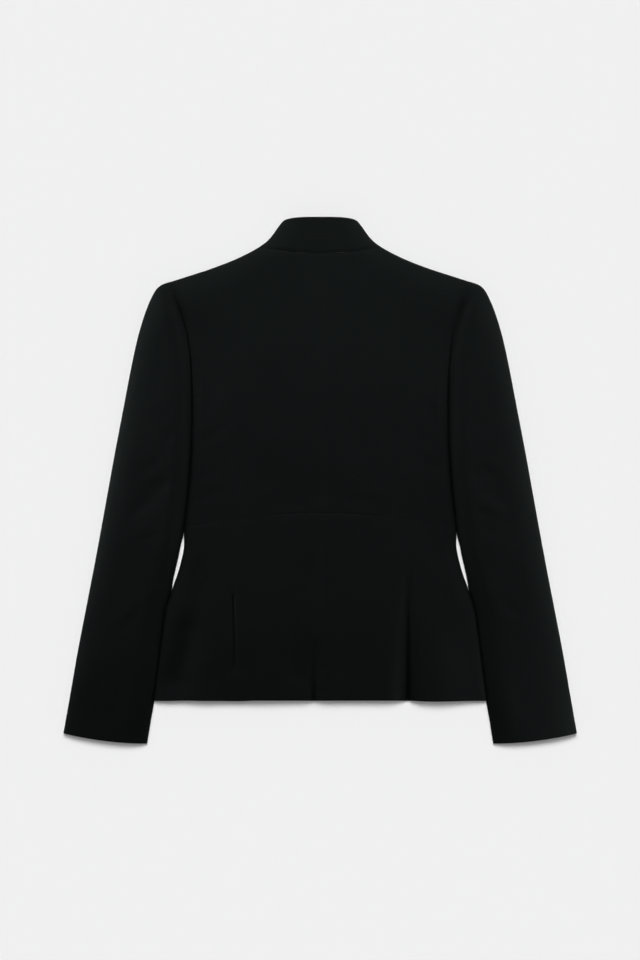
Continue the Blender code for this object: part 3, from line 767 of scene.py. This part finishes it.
def princess_reach(row_y, near):
    """How far from the centre a row meets the princess seam."""
    return solve_across(lambda y: PRINCESS("x", y), row_y, near[0])


def side_reach(row_y, near):
    """How far from the centre a row meets the side seam or the armhole."""
    return solve_across(lambda y: SIDE("x", y), row_y, near[1])


def back_places(row_y):
    """Places of a row's points, from the centre seam to the edge of the centre back."""
    reach = solve_across(back_edge, row_y, BODY_NEAR[0])
    middle = reach * NECK_HALF / SHOULDER_TIP[0]
    inner = between(0.0, middle, SEWN, COLLAR_CORNER, BACK_ACROSS[0])
    outer = between(middle, reach, COLLAR_CORNER, SEWN, BACK_ACROSS[1])
    return np.concatenate([inner, outer[1:]])


def side_places(row_y, inner, near):
    """The same from the princess seam to the side seam or the lower armhole."""
    reach = side_reach(row_y, near)
    steps = turn_steps(TURN("body", row_y(reach)), SIDE("fold", row_y(reach)))
    return between(princess_reach(row_y, near), reach, SEWN, steps, inner)


def panel(side, shares, top, places, row_maker=upper_row):
    """A panel that runs from the waist seam up to its top edge, or down to its hem."""
    rows = []
    for share in shares:
        row_y = row_between(waist_y, top, share)
        across = places(row_y)
        rows.append(row_maker(side, across, row_y(across)))
    return np.array(rows)


def peplum(side, length, places):
    """A panel of the peplum, with its folded hem first."""
    shares = spaced(length, SEWN, FOLDED, PEPLUM_UP)
    rows = panel(side, shares, lambda across: hem_y(side * np.asarray(across)), places)
    return rolled(rows[::-1], HEM_ROLL)


def back_panel(side):
    """Centre back: from the centre seam to the princess seam, and to the armhole above it."""
    shares = spaced(BACK_LENGTH, SEWN, turn_steps(EDGE_TURN), BACK_UP)
    return panel(side, shares, shoulder_y, back_places)


def side_back_panel(side):
    """Side back: from the princess seam to the side seam and the lower armhole."""
    shares = spaced(SIDE_BACK_LENGTH, SEWN, (0.0, 1.0), SIDE_BACK_UP)
    places = lambda row_y: side_places(row_y, SIDE_BACK_ACROSS, BODY_NEAR)
    return panel(side, shares, lambda _: SIDE_BACK_TOP, places)


def peplum_back(side):
    """Peplum from the centre seam to the princess line."""

    def places(row_y):
        reach = princess_reach(row_y, PEPLUM_NEAR)
        return between(0.0, reach, SEWN, SEWN, PEPLUM_ACROSS[0])

    return peplum(side, PEPLUM_LENGTH, places)


def peplum_side(side):
    """Peplum from the princess line to the side seam."""
    places = lambda row_y: side_places(row_y, PEPLUM_ACROSS[1], PEPLUM_NEAR)
    return peplum(side, PEPLUM_SIDE_LENGTH, places)


def front_neck_y(across):
    """Neckline of the fronts, then the shoulder line."""
    across = np.abs(across)
    rise = SHOULDER("y", NECK_HALF) - FRONT_NECK_Y
    curve = FRONT_NECK_Y + rise * (across / NECK_HALF) ** NECK_POWER
    return np.where(across < NECK_HALF, curve, SHOULDER("y", np.maximum(across, NECK_HALF)))


def front_places(row_y):
    """Places of a row's points from the lap of a front to the side seam or armhole."""
    reach = side_reach(row_y, BODY_NEAR)
    steps = turn_steps(LOW_TURN, float(SIDE("fold", row_y(reach))))
    neck = between(LAP_SLOPE[0], NECK_HALF, (0.0,), (0.0, 0.6, 1.6, 3.6), FRONT_ACROSS[0])
    outer = between(NECK_HALF, reach, (0.0,), steps, FRONT_ACROSS[1])
    return np.concatenate([LAP_PLACES, neck, outer[1:]])


def peplum_front_places(row_y):
    """The same for a front of the peplum."""
    reach, steps = side_reach(row_y, PEPLUM_NEAR), turn_steps(LOW_TURN)
    outer = between(LAP_SLOPE[0], reach, (0.0,), steps, PEPLUM_FRONT_ACROSS)
    return np.concatenate([LAP_PLACES, outer])


def front_panel(side):
    """Front above the waist: from its lap at the centre to the side seam and armhole."""
    shares = spaced(FRONT_LENGTH, (0.0, 2.0), turn_steps(LOW_EDGE_TURN), FRONT_UP)
    return panel(side, shares, front_neck_y, front_places, lower_row)


def peplum_front(side):
    """Front of the peplum, from its lap at the centre to the side seam."""
    shares = spaced(PEPLUM_LENGTH, (0.0, 2.0), FOLDED, PEPLUM_FRONT_UP)
    rows = panel(side, shares, lambda _: HEM_Y, peplum_front_places, lower_row)
    return rolled(rows[::-1], HEM_ROLL / 2)


def armhole_bend(u):
    """How far the armhole bends from the straight line between the ends of the last row."""
    low, top = SLEEVE_ROWS.columns["inner"][-1], SLEEVE_ROWS.keys[-1]
    line = (1 - u) * sleeve_side(low) + u * sleeve_side(top)
    return sleeve_side(low + u * (top - low)) - line


def sleeve_path(outer_y, places):
    """Points of the plan across the sleeve, from its inner edge to its outer edge."""
    inner_y, curve, bow = (float(SLEEVE_ROWS(n, outer_y)) for n in ("inner", "curve", "bow"))
    u = np.asarray(places)
    outer_x = max(float(SLEEVE_EDGE("x", outer_y)), float(sleeve_side(outer_y)))
    x = (1 - u) * sleeve_side(inner_y) + u * outer_x + curve * armhole_bend(u)
    y = (1 - u) * inner_y + u * outer_y - bow * 4 * u * (1 - u)
    return x, y


def sleeve_length(outer_y):
    x, y = sleeve_path(outer_y, (0.0, 1.0))
    return float(np.hypot(x[1] - x[0], y[1] - y[0]))


def outer_steps(outer_y, width):
    """Steps from the outer edge, longer where the row meets that edge at a slant."""
    length = sleeve_length(outer_y)
    probe = sleeve_path(outer_y, (1 - PROBE / length,))
    slant = float(distance_in(*probe)[0]) / PROBE
    return turn_steps(width) / slant / length


def inner_steps(outer_y, width):
    """Steps from the inner edge, which become even ones towards the armhole."""
    fold = float(SIDE("fold", SLEEVE_ROWS("inner", outer_y)))
    even = max(float(SLEEVE_ROWS("curve", outer_y)) ** 2, 1 - fold)
    width = width * (1 + ARMHOLE_TURN * even)
    return turn_steps(width, 1 - even) / sleeve_length(outer_y)


def sleeve_levels():
    """Heights on the outer edge where the sleeve has its rows, evenly spaced over the cloth."""
    y = np.linspace(SLEEVE_ROWS.keys[0], SLEEVE_ROWS.keys[-1], 1500)
    x = np.maximum(SLEEVE_EDGE("x", y), sleeve_side(y))
    along = np.concatenate([[0], np.cumsum(np.hypot(np.diff(x), np.diff(y)))])
    share = spaced(along[-1], FOLDED, SEWN, SLEEVE_UP)
    return np.interp(share * along[-1], along, y)


def sleeve_row(side, outer_y, upper_places, lower_places):
    """Points round the sleeve: over the top from the inner edge, then back underneath."""
    across, y = sleeve_path(outer_y, np.concatenate([upper_places, lower_places]))
    x = side * across
    over = np.arange(len(x)) < len(upper_places)
    z = np.where(over, upper_height(x, y), lower_height(x, y))
    points = np.stack([x, y, z], 1)
    return points if side > 0 else points[::-1]


def top_sleeve(side):
    """Upper part of the sleeve: from the inner edge, round the outer edge to the forearm seam."""
    rows = []
    for outer_y in sleeve_levels():
        start = inner_steps(outer_y, TURN("sleeve", SLEEVE_ROWS("inner", outer_y)))
        end = 1 - outer_steps(outer_y, EDGE_TURN)[::-1]
        middle = np.linspace(start[-1], end[0], SLEEVE_ACROSS + 2)[1:-1]
        turn = 1 - outer_steps(outer_y, LOW_EDGE_TURN)[1:]
        under = np.concatenate([turn, np.linspace(turn[-1], 1 - FOREARM, UNDER_ACROSS)[1:]])
        rows.append(sleeve_row(side, outer_y, np.concatenate([start, middle, end]), under))
    return rolled(np.array(rows), HEM_ROLL)


def under_sleeve(side):
    """Under part of the sleeve: from the forearm seam to the inner edge."""
    rows = []
    for outer_y in sleeve_levels()[::2]:
        turn = inner_steps(outer_y, LOW_TURN)[::-1]
        places = np.concatenate([np.linspace(1 - FOREARM, turn[0], UNDER_ACROSS)[:-1], turn])
        rows.append(sleeve_row(side, outer_y, (), places))
    return rolled(np.array(rows), HEM_ROLL)


def collar_row(share):
    """Points round the collar at one share of its height, from centre front to centre front."""
    fold_x = float(COLLAR_FOLD("x", share))
    fold_y = float(SHOULDER("y", fold_x))
    back_y = NECK_Y + share * (COLLAR_TOP_Y - NECK_Y)
    power = COLLAR_POWERS[0] + (COLLAR_POWERS[1] - COLLAR_POWERS[0]) * share
    x = between(0.0, fold_x, (0.0,), turn_steps(EDGE_TURN), COLLAR_ACROSS)
    y = back_y + (fold_y - back_y) * (x / fold_x) ** power
    back = np.stack([x, y, upper_height(x, y)], 1)
    front_y = FRONT_NECK_Y + share * (COLLAR_FRONT_TOP_Y - FRONT_NECK_Y)
    steps = turn_steps(COLLAR_FRONT_TURN)
    front_x = between(fold_x, COLLAR_END, steps, (0.0,), COLLAR_ACROSS)[1:]
    y = front_y + (fold_y - front_y) * (front_x / fold_x) ** NECK_POWER
    front = np.stack([front_x, y, lower_height(front_x, y)], 1)
    right = np.concatenate([back, front])
    left = right[::-1] * (-1, 1, 1)
    return np.concatenate([left[:-1], right])


def collar():
    """Stand collar: one band that lies round the neck, open at the centre front."""
    rows = [collar_row(share) for share in spaced(COLLAR_HEIGHT, SEWN, FOLDED, COLLAR_UP)]
    return rolled(np.array(rows), COLLAR_ROLL, last=True)


def add_node(tree, kind, settings=None, inputs=None):
    """A node with its settings, and with its inputs set to values or linked to what feeds them."""
    made = tree.nodes.new(kind)
    for name, value in (settings or {}).items():
        setattr(made, name, value)
    for name, value in (inputs or {}).items():
        feed(tree, made.inputs[name], value)
    return made


def feed(tree, socket, value):
    """Sets a socket to a value, or links it to an amount, a socket or a node's first output."""
    value = value.socket if isinstance(value, Amount) else value
    value = value.outputs[0] if isinstance(value, bpy.types.Node) else value
    if isinstance(value, bpy.types.NodeSocket):
        tree.links.new(value, socket)
    else:
        socket.default_value = value


class Amount:
    """A number that changes over the surface. Sums on it add the nodes that work them out."""

    def __init__(self, look, socket):
        self.look = look
        self.socket = socket

    def sum(self, operation, *values):
        node = self.look.node("ShaderNodeMath", {"operation": operation}, dict(enumerate(values)))
        return Amount(self.look, node.outputs[0])

    def __add__(self, other):
        return self.sum("ADD", self, other)

    def __radd__(self, other):
        return self.sum("ADD", other, self)

    def __sub__(self, other):
        return self.sum("SUBTRACT", self, other)

    def __mul__(self, other):
        return self.sum("MULTIPLY", self, other)

    def wave(self):
        return self.sum("SINE", self)

    def clipped(self):
        return self.sum("MINIMUM", self.sum("MAXIMUM", self, 0.0), 1.0)


class Look:
    """One material and the nodes of its surface."""

    def __init__(self, name):
        self.material = bpy.data.materials.new(name)
        self.material.use_nodes = True
        self.tree = self.material.node_tree
        self.shader = self.tree.nodes["Principled BSDF"]

    def node(self, kind, settings=None, inputs=None):
        return add_node(self.tree, kind, settings, inputs)

    def surface(self, **inputs):
        """Sets the shader's own sockets, with underscores for the spaces in their names."""
        for name, value in inputs.items():
            feed(self.tree, self.shader.inputs[name.replace("_", " ")], value)

    def noise(self, place, scale, detail=2.0, roughness=0.5):
        inputs = {"Vector": place, "Scale": scale, "Detail": detail, "Roughness": roughness}
        return Amount(self, self.node("ShaderNodeTexNoise", inputs=inputs).outputs[0])

    def mixed(self, share, first, second):
        """A colour between two others."""
        inputs = {0: share, 6: first, 7: second}
        return self.node("ShaderNodeMix", {"data_type": "RGBA"}, inputs).outputs[2]

    def bump(self, height, strength, distance):
        inputs = {"Strength": strength, "Distance": distance, "Height": height}
        return self.node("ShaderNodeBump", inputs=inputs)

    def stretched(self, place, by):
        """Places scaled by a vector, so that a pattern is longer one way."""
        return self.node("ShaderNodeVectorMath", {"operation": "MULTIPLY"}, {0: place, 1: by})


YARN = 0.00055  # from one yarn of the weave to the next, in metres
CREPE = 0.0016  # size of the crepe's pebbles
SLUB = (0.0025, 0.022)  # width and length of the thicker places in the yarns
SHADE = 0.045  # size of the slow changes of tone
PLY = 1 / 2600  # size of the thread's plies
GLOSS_TINT = (0.80, 1.0, 0.95, 1.0)
SHEEN_TINT = (0.92, 1.0, 0.98, 1.0)
# Each black from its darkest places to its lightest
BODY_BLACKS = ((0.0007, 0.0011, 0.0010, 1), (0.0013, 0.0018, 0.0017, 1))
# The collar is the same suiting as the body; its lighter blacks are painted highlight for the light
# from above that falls on it.
COLLAR_BLACKS_PAINTED_LIGHT = ((0.0010, 0.0015, 0.0013, 1), (0.0017, 0.0024, 0.0022, 1))
THREAD_BLACKS = ((0.0010, 0.0014, 0.0013, 1), (0.0024, 0.0030, 0.0029, 1))


def suiting(name, blacks, sheen):
    """Matt black crepe suiting: a fine twill of uneven yarns, a little flatter where pressed."""
    look = Look(name)
    cloth = look.node("ShaderNodeUVMap", {"uv_map": "cloth"})
    parts = look.node("ShaderNodeSeparateXYZ", inputs={0: cloth})
    across, along = (Amount(look, parts.outputs[i]) for i in (0, 1))
    pressed = look.node("ShaderNodeAttribute", {"attribute_name": "pressed"})
    pressed = Amount(look, pressed.outputs["Fac"])

    twill = ((across + along) * (2 * np.pi / YARN)).wave() * 0.5 + 0.5
    weft = ((along - across * 0.3) * (2 * np.pi / YARN / 1.3)).wave() * 0.5 + 0.5
    weave = twill * 0.6 + weft * 0.4
    pebbles = look.noise(cloth, 1 / CREPE, detail=3.0, roughness=0.6)
    slubs = look.noise(look.stretched(cloth, (1 / SLUB[0], 1 / SLUB[1], 1.0)), 1.0)
    shade = look.noise(cloth, 1 / SHADE, detail=3.0)

    tone = shade * 0.5 + slubs * 0.22 + pebbles * 0.2 + weave * 0.08
    colour = look.mixed(((tone - 0.3) * 2.5).clipped(), *blacks)
    relief = weave * 0.35 + pebbles * 0.9 + slubs * 0.35
    look.surface(
        Base_Color=colour,
        Roughness=(0.86 + (shade - 0.5) * 0.12 - pressed * 0.02).clipped(),
        Normal=look.bump(relief, strength=0.55, distance=0.00022),
        Metallic=0.0,
        Specular_IOR_Level=0.06,
        Specular_Tint=GLOSS_TINT,
        Sheen_Weight=sheen,
        Sheen_Roughness=0.45,
        Sheen_Tint=SHEEN_TINT,
    )
    return look.material


def thread_look():
    """Black polyester thread, a little glossier than the cloth."""
    look = Look("sewing_thread")
    place = look.node("ShaderNodeTexCoord").outputs["Object"]
    ply = look.noise(place, 1 / PLY)
    look.surface(
        Base_Color=look.mixed(ply, *THREAD_BLACKS),
        Roughness=0.7,
        Normal=look.bump(ply, strength=0.4, distance=0.00008),
        Specular_IOR_Level=0.09,
    )
    return look.material


def pressed_share(x, y, upper):
    """1 at seams and hems, where the iron has flattened the cloth, and 0 away from them."""
    most, reach = HEM_PRESS
    share = most * hump(y - hem_y(x), reach) * (np.abs(x) < SIDE("x", y))
    if upper:
        for _, away, _, weight in seams_near(x, y):
            share = np.maximum(share, np.minimum(weight, 1.0) * hump(away, PRESSED_REACH))
    return share


FULLEST_CUT = 0.98  # the most that a cut may fill of the rectangle round it
UPPER_ABOVE = 4.0  # panels whose points are higher than this on average lie on top


def add_object(name, data):
    """A new object in the scene."""
    thing = bpy.data.objects.new(name, data)
    bpy.context.scene.collection.objects.link(thing)
    return thing


def cloth_piece(name, points, material, wall=CLOTH):
    """A sewn piece: an open face through a grid of points, with its wall turned inwards."""
    count, across = points.shape[:2]
    i, j = np.meshgrid(np.arange(count - 1), np.arange(across - 1), indexing="ij")
    corner = (i * across + j).ravel()
    faces = np.stack([corner, corner + 1, corner + across + 1, corner + across], 1)
    flat = points.reshape(-1, 3)
    mesh = bpy.data.meshes.new(name)
    mesh.from_pydata((flat * MM).tolist(), [], faces.tolist())
    mesh.shade_smooth()
    ends = np.zeros(2 * len(mesh.edges), int)
    mesh.edges.foreach_get("vertices", ends)
    row, column = np.divmod(ends.reshape(-1, 2), across)
    outer = [np.all(row == 0, 1), np.all(row == count - 1, 1)]
    outer += [np.all(column == 0, 1), np.all(column == across - 1, 1)]
    crisp = mesh.attributes.new("sharp_edge", "BOOLEAN", "EDGE")
    crisp.data.foreach_set("value", np.any(outer, axis=0))
    mesh.materials.append(material)
    places = np.stack([lengths(points, 1), lengths(points, 0)], 2).reshape(-1, 2) * MM
    uv = mesh.uv_layers.new(name="cloth")
    uv.data.foreach_set("uv", places[faces.ravel()].ravel())
    pressed = mesh.attributes.new("pressed", "FLOAT", "POINT")
    share = pressed_share(flat[:, 0], flat[:, 1], upper=flat[:, 2].mean() > UPPER_ABOVE)
    pressed.data.foreach_set("value", share.astype(np.float32))
    piece = add_object(name, mesh)
    solidify = piece.modifiers.new("wall", "SOLIDIFY")
    solidify.thickness = wall * MM
    solidify.offset = -1
    return piece


def cut_size(points):
    """Width, length and area in metres of the flat cut of what shows of a panel. The area
    stays under that of the rectangle round the cut."""
    across, along = lengths(points, 1), lengths(points, 0)
    width, length = across[:, -1].max() * MM, along[-1].max() * MM
    sides = np.cross(points[1:, :-1] - points[:-1, :-1], points[:-1, 1:] - points[:-1, :-1])
    face = np.linalg.norm(sides, axis=2).sum() * MM * MM
    return width, length, min(face, FULLEST_CUT * width * length)


PANELS = (
    # name, its maker, and what it lies on
    ("front", front_panel, None),
    ("peplum_front", peplum_front, None),
    ("under_sleeve", under_sleeve, None),
    ("back", back_panel, "front"),
    ("side_back", side_back_panel, "front"),
    ("peplum_back", peplum_back, "peplum_front"),
    ("peplum_side", peplum_side, "peplum_front"),
    ("top_sleeve", top_sleeve, "under_sleeve"),
)


def dress(piece, node):
    """Puts a piece in the place of its solid."""
    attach(piece, "root")
    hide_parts(node)


def declare(piece, points):
    width, length, area = cut_size(points)
    print(f"cut {piece.name}: {width:.3f} x {length:.3f} m, {area:.4f} square metres")


def make_panels(material):
    for stem, make, below in PANELS:
        for side, word in ((-1, "left"), (1, "right")):
            points = make(side)
            piece = cloth_piece(f"{stem}_panel_{word}", points, material)
            dress(piece, f"{stem}_{word}")
            declare(piece, points)


def make_collar(material):
    points = collar()
    piece = cloth_piece("collar_band", points, material, COLLAR_CLOTH)
    dress(piece, "collar")
    return piece, points


STITCH_TREE_INPUTS = {
    # name: kind of socket
    "Pitch": "NodeSocketFloat",
    "Half stitch": "NodeSocketVector",
    "Rise": "NodeSocketFloat",
    "Thread": "NodeSocketFloat",
    "Unevenness": "NodeSocketFloat",
    "Seed": "NodeSocketInt",
}


def stitch_tree(material):
    """Nodes that set small thread stitches along a line, upright on the cloth below it."""
    tree = bpy.data.node_groups.new("stitches", "GeometryNodeTree")
    tree.interface.new_socket("Line", in_out="INPUT", socket_type="NodeSocketGeometry")
    for name, kind in STITCH_TREE_INPUTS.items():
        tree.interface.new_socket(name, in_out="INPUT", socket_type=kind)
    tree.interface.new_socket("Stitches", in_out="OUTPUT", socket_type="NodeSocketGeometry")

    def node(kind, settings=None, **inputs):
        inputs = {name.replace("_", " "): value for name, value in inputs.items()}
        return add_node(tree, kind, settings, inputs)

    start = node("NodeGroupInput").outputs
    line = node("GeometryNodeMeshToCurve", Mesh=start["Line"])
    by_length = {"mode": "LENGTH"}
    points = node("GeometryNodeResampleCurve", by_length, Curve=line, Length=start["Pitch"])
    half = start["Half stitch"]
    back = add_node(tree, "ShaderNodeVectorMath", {"operation": "SCALE"}, {0: half, "Scale": -1.0})
    top = node("ShaderNodeCombineXYZ", Z=start["Rise"])
    bow = node("GeometryNodeCurveQuadraticBezier", Resolution=4, Start=back, Middle=top, End=half)
    thread = node("GeometryNodeCurvePrimitiveCircle", Resolution=6, Radius=start["Thread"])
    stitch = node("GeometryNodeCurveToMesh", Curve=bow, Profile_Curve=thread, Fill_Caps=True)
    up = node("GeometryNodeInputNamedAttribute", {"data_type": "FLOAT_VECTOR"}, Name="up")
    upright = node("FunctionNodeAlignRotationToVector", {"axis": "Z"}, Vector=up)
    along = node(
        "FunctionNodeAlignRotationToVector",
        {"axis": "X", "pivot_axis": "Z"},
        Rotation=upright,
        Vector=node("GeometryNodeInputTangent"),
    )
    less, more = (
        add_node(tree, "ShaderNodeMath", {"operation": way}, {0: 1.0, 1: start["Unevenness"]})
        for way in ("SUBTRACT", "ADD")
    )
    size = add_node(
        tree,
        "FunctionNodeRandomValue",
        {"data_type": "FLOAT"},
        {2: less, 3: more, "Seed": start["Seed"]},
    )
    placed = node(
        "GeometryNodeInstanceOnPoints",
        Points=points,
        Instance=stitch,
        Rotation=along,
        Scale=size.outputs[1],
    )
    real = node("GeometryNodeRealizeInstances", Geometry=placed)
    finished = node("GeometryNodeSetMaterial", Geometry=real, Material=material)
    node("NodeGroupOutput", Stitches=finished)
    return tree


def stitch_piece(name, lines, tree, sizes):
    """Stitches along lines of (points, normals) in millimetres, as one plain mesh."""
    points = np.concatenate([line[0] for line in lines]) * MM
    ups = np.concatenate([line[1] for line in lines])
    edges, first = [], 0
    for line in lines:
        edges += [(k, k + 1) for k in range(first, first + len(line[0]) - 1)]
        first += len(line[0])
    path = bpy.data.meshes.new(name + "_line")
    path.from_pydata(points.tolist(), edges, [])
    up = path.attributes.new("up", "FLOAT_VECTOR", "POINT")
    up.data.foreach_set("vector", ups.ravel())
    holder = add_object(name + "_line", path)
    sewing = holder.modifiers.new("sewing", "NODES")
    sewing.node_group = tree
    for item in tree.interface.items_tree:
        if item.in_out == "INPUT" and item.name in sizes:
            sewing[item.identifier] = sizes[item.name]
    evaluated = holder.evaluated_get(bpy.context.evaluated_depsgraph_get())
    mesh = bpy.data.meshes.new_from_object(evaluated)
    mesh.name = name
    mesh.shade_smooth()
    bpy.data.objects.remove(holder)
    piece = add_object(name, mesh)
    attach(piece, "root")
    return piece


SLOPE_STEP = 0.8  # the cloth's slope is measured over this distance each way


def line_on_cloth(x, y, lift):
    """Points on the upper cloth above a line of the plan, and the cloth's directions there."""
    step = SLOPE_STEP
    z = upper_height(x, y)
    slope_x = (upper_height(x + step, y) - upper_height(x - step, y)) / (2 * step)
    slope_y = (upper_height(x, y + step) - upper_height(x, y - step)) / (2 * step)
    up = np.stack([-slope_x, -slope_y, np.ones_like(z)], 1)
    up /= np.linalg.norm(up, axis=1, keepdims=True)
    return np.stack([x, y, z], 1) + lift * up, up


SEAM_STITCH = {
    "Pitch": 2.4 * MM,
    "Half stitch": (0.0, 0.45 * MM, -0.25 * MM),
    "Rise": 0.05 * MM,
    "Thread": 0.11 * MM,
    "Unevenness": 0.12,
    "Seed": 11,
}
TACK = {
    "Pitch": 2.9 * MM,
    "Half stitch": (1.2 * MM, 0.0, -0.2 * MM),
    "Rise": 0.35 * MM,
    "Thread": 0.22 * MM,
    "Unevenness": 0.10,
    "Seed": 5,
}
TACK_LINES = (
    # x from, x to, y: the row across the back of the collar, and the small tacks at its ends
    (-6, 17.5, 315.3),
    (-12.5, -9.5, 316.2),
    (21.5, 24.5, 315.8),
)
SEAM_THREAD_LIFT = -0.12  # the seams' stitches are sunk in the cloth
TACK_LIFT = 0.05
# From where to where the seams' threads show: they stop short of seams that cross them
CENTRE_THREADS = ((HEM_Y + 4, WAIST_Y - 4, 120), (WAIST_Y + 4, NECK_Y - 4, 160))
PRINCESS_THREADS = ((HEM_Y + 4, WAIST_Y - 12, 120), (WAIST_Y, JOIN_Y - 4, 120))
ARMHOLE_THREADS = ((78.0, SHOULDER_TIP[1] - 10, 120),)
WAIST_THREADS = (-172.0, 172.0, 200)
NECK_THREADS = (-NECK_HALF + 6, NECK_HALF - 6, 100)


def seam_lines():
    """The seams of the back as lines on the cloth, where their threads show."""

    def up_the_back(across, spans):
        """Lines that run up the jacket, at the place across it that a curve gives."""
        for span in spans:
            y = np.linspace(*span)
            yield line_on_cloth(across(y), y, SEAM_THREAD_LIFT)

    yield from up_the_back(np.zeros_like, CENTRE_THREADS)
    for curve, span in ((waist_y, WAIST_THREADS), (neck_y, NECK_THREADS)):
        x = np.linspace(*span)
        yield line_on_cloth(x, curve(x), SEAM_THREAD_LIFT)
    for side in (-1, 1):
        yield from up_the_back(lambda y: side * PRINCESS("x", y), PRINCESS_THREADS)
        middle = lambda y: side * (SIDE("x", y) + 0.5 * SIDE("gap", y))
        yield from up_the_back(middle, ARMHOLE_THREADS)


# The light: a long soft box that leans from overhead towards the collar, as a row of soft
# suns, a little light from all round, and low boxes round the jacket that only add gloss.
FLOOR_GLOW = 0.14
SUN_ELEVATIONS = (57.0, 65.0, 73.0)
SUN_STRENGTH = 0.925  # of each, in watts per square metre
SUN_ANGLE = 20.0
ROUND_LIGHT = 0.12
GLOSS_BOXES = {
    # name: place and target in metres, width and length in metres, spread in degrees, watts
    "top_box": ((0.10, 0.80, 0.60), (0.0, 0.15, 0.0), (0.5, 0.3), 180.0, 4.6),
    "top_near": ((0.05, 0.62, 0.45), (0.0, 0.20, 0.0), (0.5, 0.2), 60.0, 0.6),
    "top_rim": ((0.0, 0.95, 0.12), (0.0, 0.3, 0.0), (0.8, 0.1), 180.0, 7.4),
    "left_rim": ((-0.80, 0.10, 0.04), (-0.3, 0.10, 0.0), (0.04, 0.8), 180.0, 27.0),
    "right_rim": ((0.80, 0.05, 0.04), (0.3, 0.05, 0.0), (0.04, 0.8), 180.0, 22.0),
    "right_cuff": ((0.47, -0.36, 0.12), (0.26, -0.31, 0.0), (0.12, 0.2), 180.0, 1.2),
}

FLOOR_HALF = 30.0  # metres
FLOOR_DROP = 0.0003  # the floor lies this far below the cloth


def make_floor():
    """Plain pale floor."""
    mesh = bpy.data.meshes.new("floor")
    corners = [(-1, -1), (1, -1), (1, 1), (-1, 1)]
    verts = [(x * FLOOR_HALF, y * FLOOR_HALF, -FLOOR_DROP) for x, y in corners]
    mesh.from_pydata(verts, [], [(0, 1, 2, 3)])
    look = Look("floor_paint")
    look.surface(
        Base_Color=(0.8, 0.8, 0.8, 1),
        Roughness=1.0,
        Specular_IOR_Level=0.0,
        Emission_Color=(1.0, 1.0, 1.0, 1),
        Emission_Strength=FLOOR_GLOW,
    )
    mesh.materials.append(look.material)
    add_object("floor", mesh)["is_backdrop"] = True


def aimed(location, target):
    """A matrix at a place, looking at another place."""
    way = Vector(target) - Vector(location)
    return Matrix.Translation(location) @ way.to_track_quat("-Z", "Y").to_matrix().to_4x4()


def add_lamp(name, kind, place, target, energy):
    lamp = add_object(name, bpy.data.lights.new(name, kind))
    lamp.matrix_world = aimed(place, target)
    lamp.data.energy = energy
    return lamp


def make_lights():
    scene = bpy.context.scene
    for k, elevation in enumerate(SUN_ELEVATIONS):
        angle = np.radians(elevation)
        place = (0.0, np.cos(angle), np.sin(angle))
        lamp = add_lamp(f"soft_sun_{k}", "SUN", place, (0, 0, 0), SUN_STRENGTH)
        lamp.data.angle = np.radians(SUN_ANGLE)
        lamp.visible_glossy = False
    for name, (place, target, (width, length), spread, power) in GLOSS_BOXES.items():
        lamp = add_lamp(name, "AREA", place, target, power)
        lamp.data.shape = "RECTANGLE"
        lamp.data.size, lamp.data.size_y = width, length
        lamp.data.spread = np.radians(spread)
        lamp.visible_diffuse = False
    world = bpy.data.worlds.new("studio")
    world.use_nodes = True
    background = world.node_tree.nodes["Background"]
    background.inputs["Color"].default_value = (1.0, 1.0, 1.0, 1.0)
    background.inputs["Strength"].default_value = ROUND_LIGHT
    scene.world = world
    scene.view_settings.view_transform = "Standard"


CAMERA_HEIGHT = 10.0  # metres
FRAME_HEIGHT = 1.248  # of the floor that the photo's long side shows
CAMERA_X = -0.00026
CAMERA_Y = 0.00065


def make_camera():
    """Straight down from above the middle of the jacket."""
    data = bpy.data.cameras.new("camera")
    data.sensor_width = 36.0
    data.lens = data.sensor_width * CAMERA_HEIGHT / FRAME_HEIGHT
    data.clip_end = 100.0
    camera = add_object("camera", data)
    camera.location = (CAMERA_X, CAMERA_Y, CAMERA_HEIGHT)
    bpy.context.scene.camera = camera


def save_sizes():
    """The solids' box and the finished jacket's, put into plain lists; nothing saves or compares
    them.
    """
    boxes = {"cad": CAD_BOX, "visual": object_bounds()}
    plain = {name: [[float(v) for v in corner] for corner in box] for name, box in boxes.items()}


def main():
    make_camera()
    make_floor()
    make_lights()
    body_cloth = suiting("suiting", BODY_BLACKS, sheen=0.004)
    # The collar's suiting is the body's with lighter blacks: painted highlight.
    band_cloth_painted_light = suiting("collar_suiting", COLLAR_BLACKS_PAINTED_LIGHT, sheen=0.005)
    thread = thread_look()
    make_panels(body_cloth)
    band, band_points = make_collar(band_cloth_painted_light)
    tree = stitch_tree(thread)
    stitch_piece("seam_stitches", list(seam_lines()), tree, SEAM_STITCH)
    rows = []
    for start, end, y in TACK_LINES:
        x = np.linspace(start, end, 9)
        rows.append(line_on_cloth(x, np.full_like(x, y), TACK_LIFT))
    tacks = stitch_piece("collar_stitches", rows, tree, TACK)
    declare(band, band_points)
    save_sizes()


main()
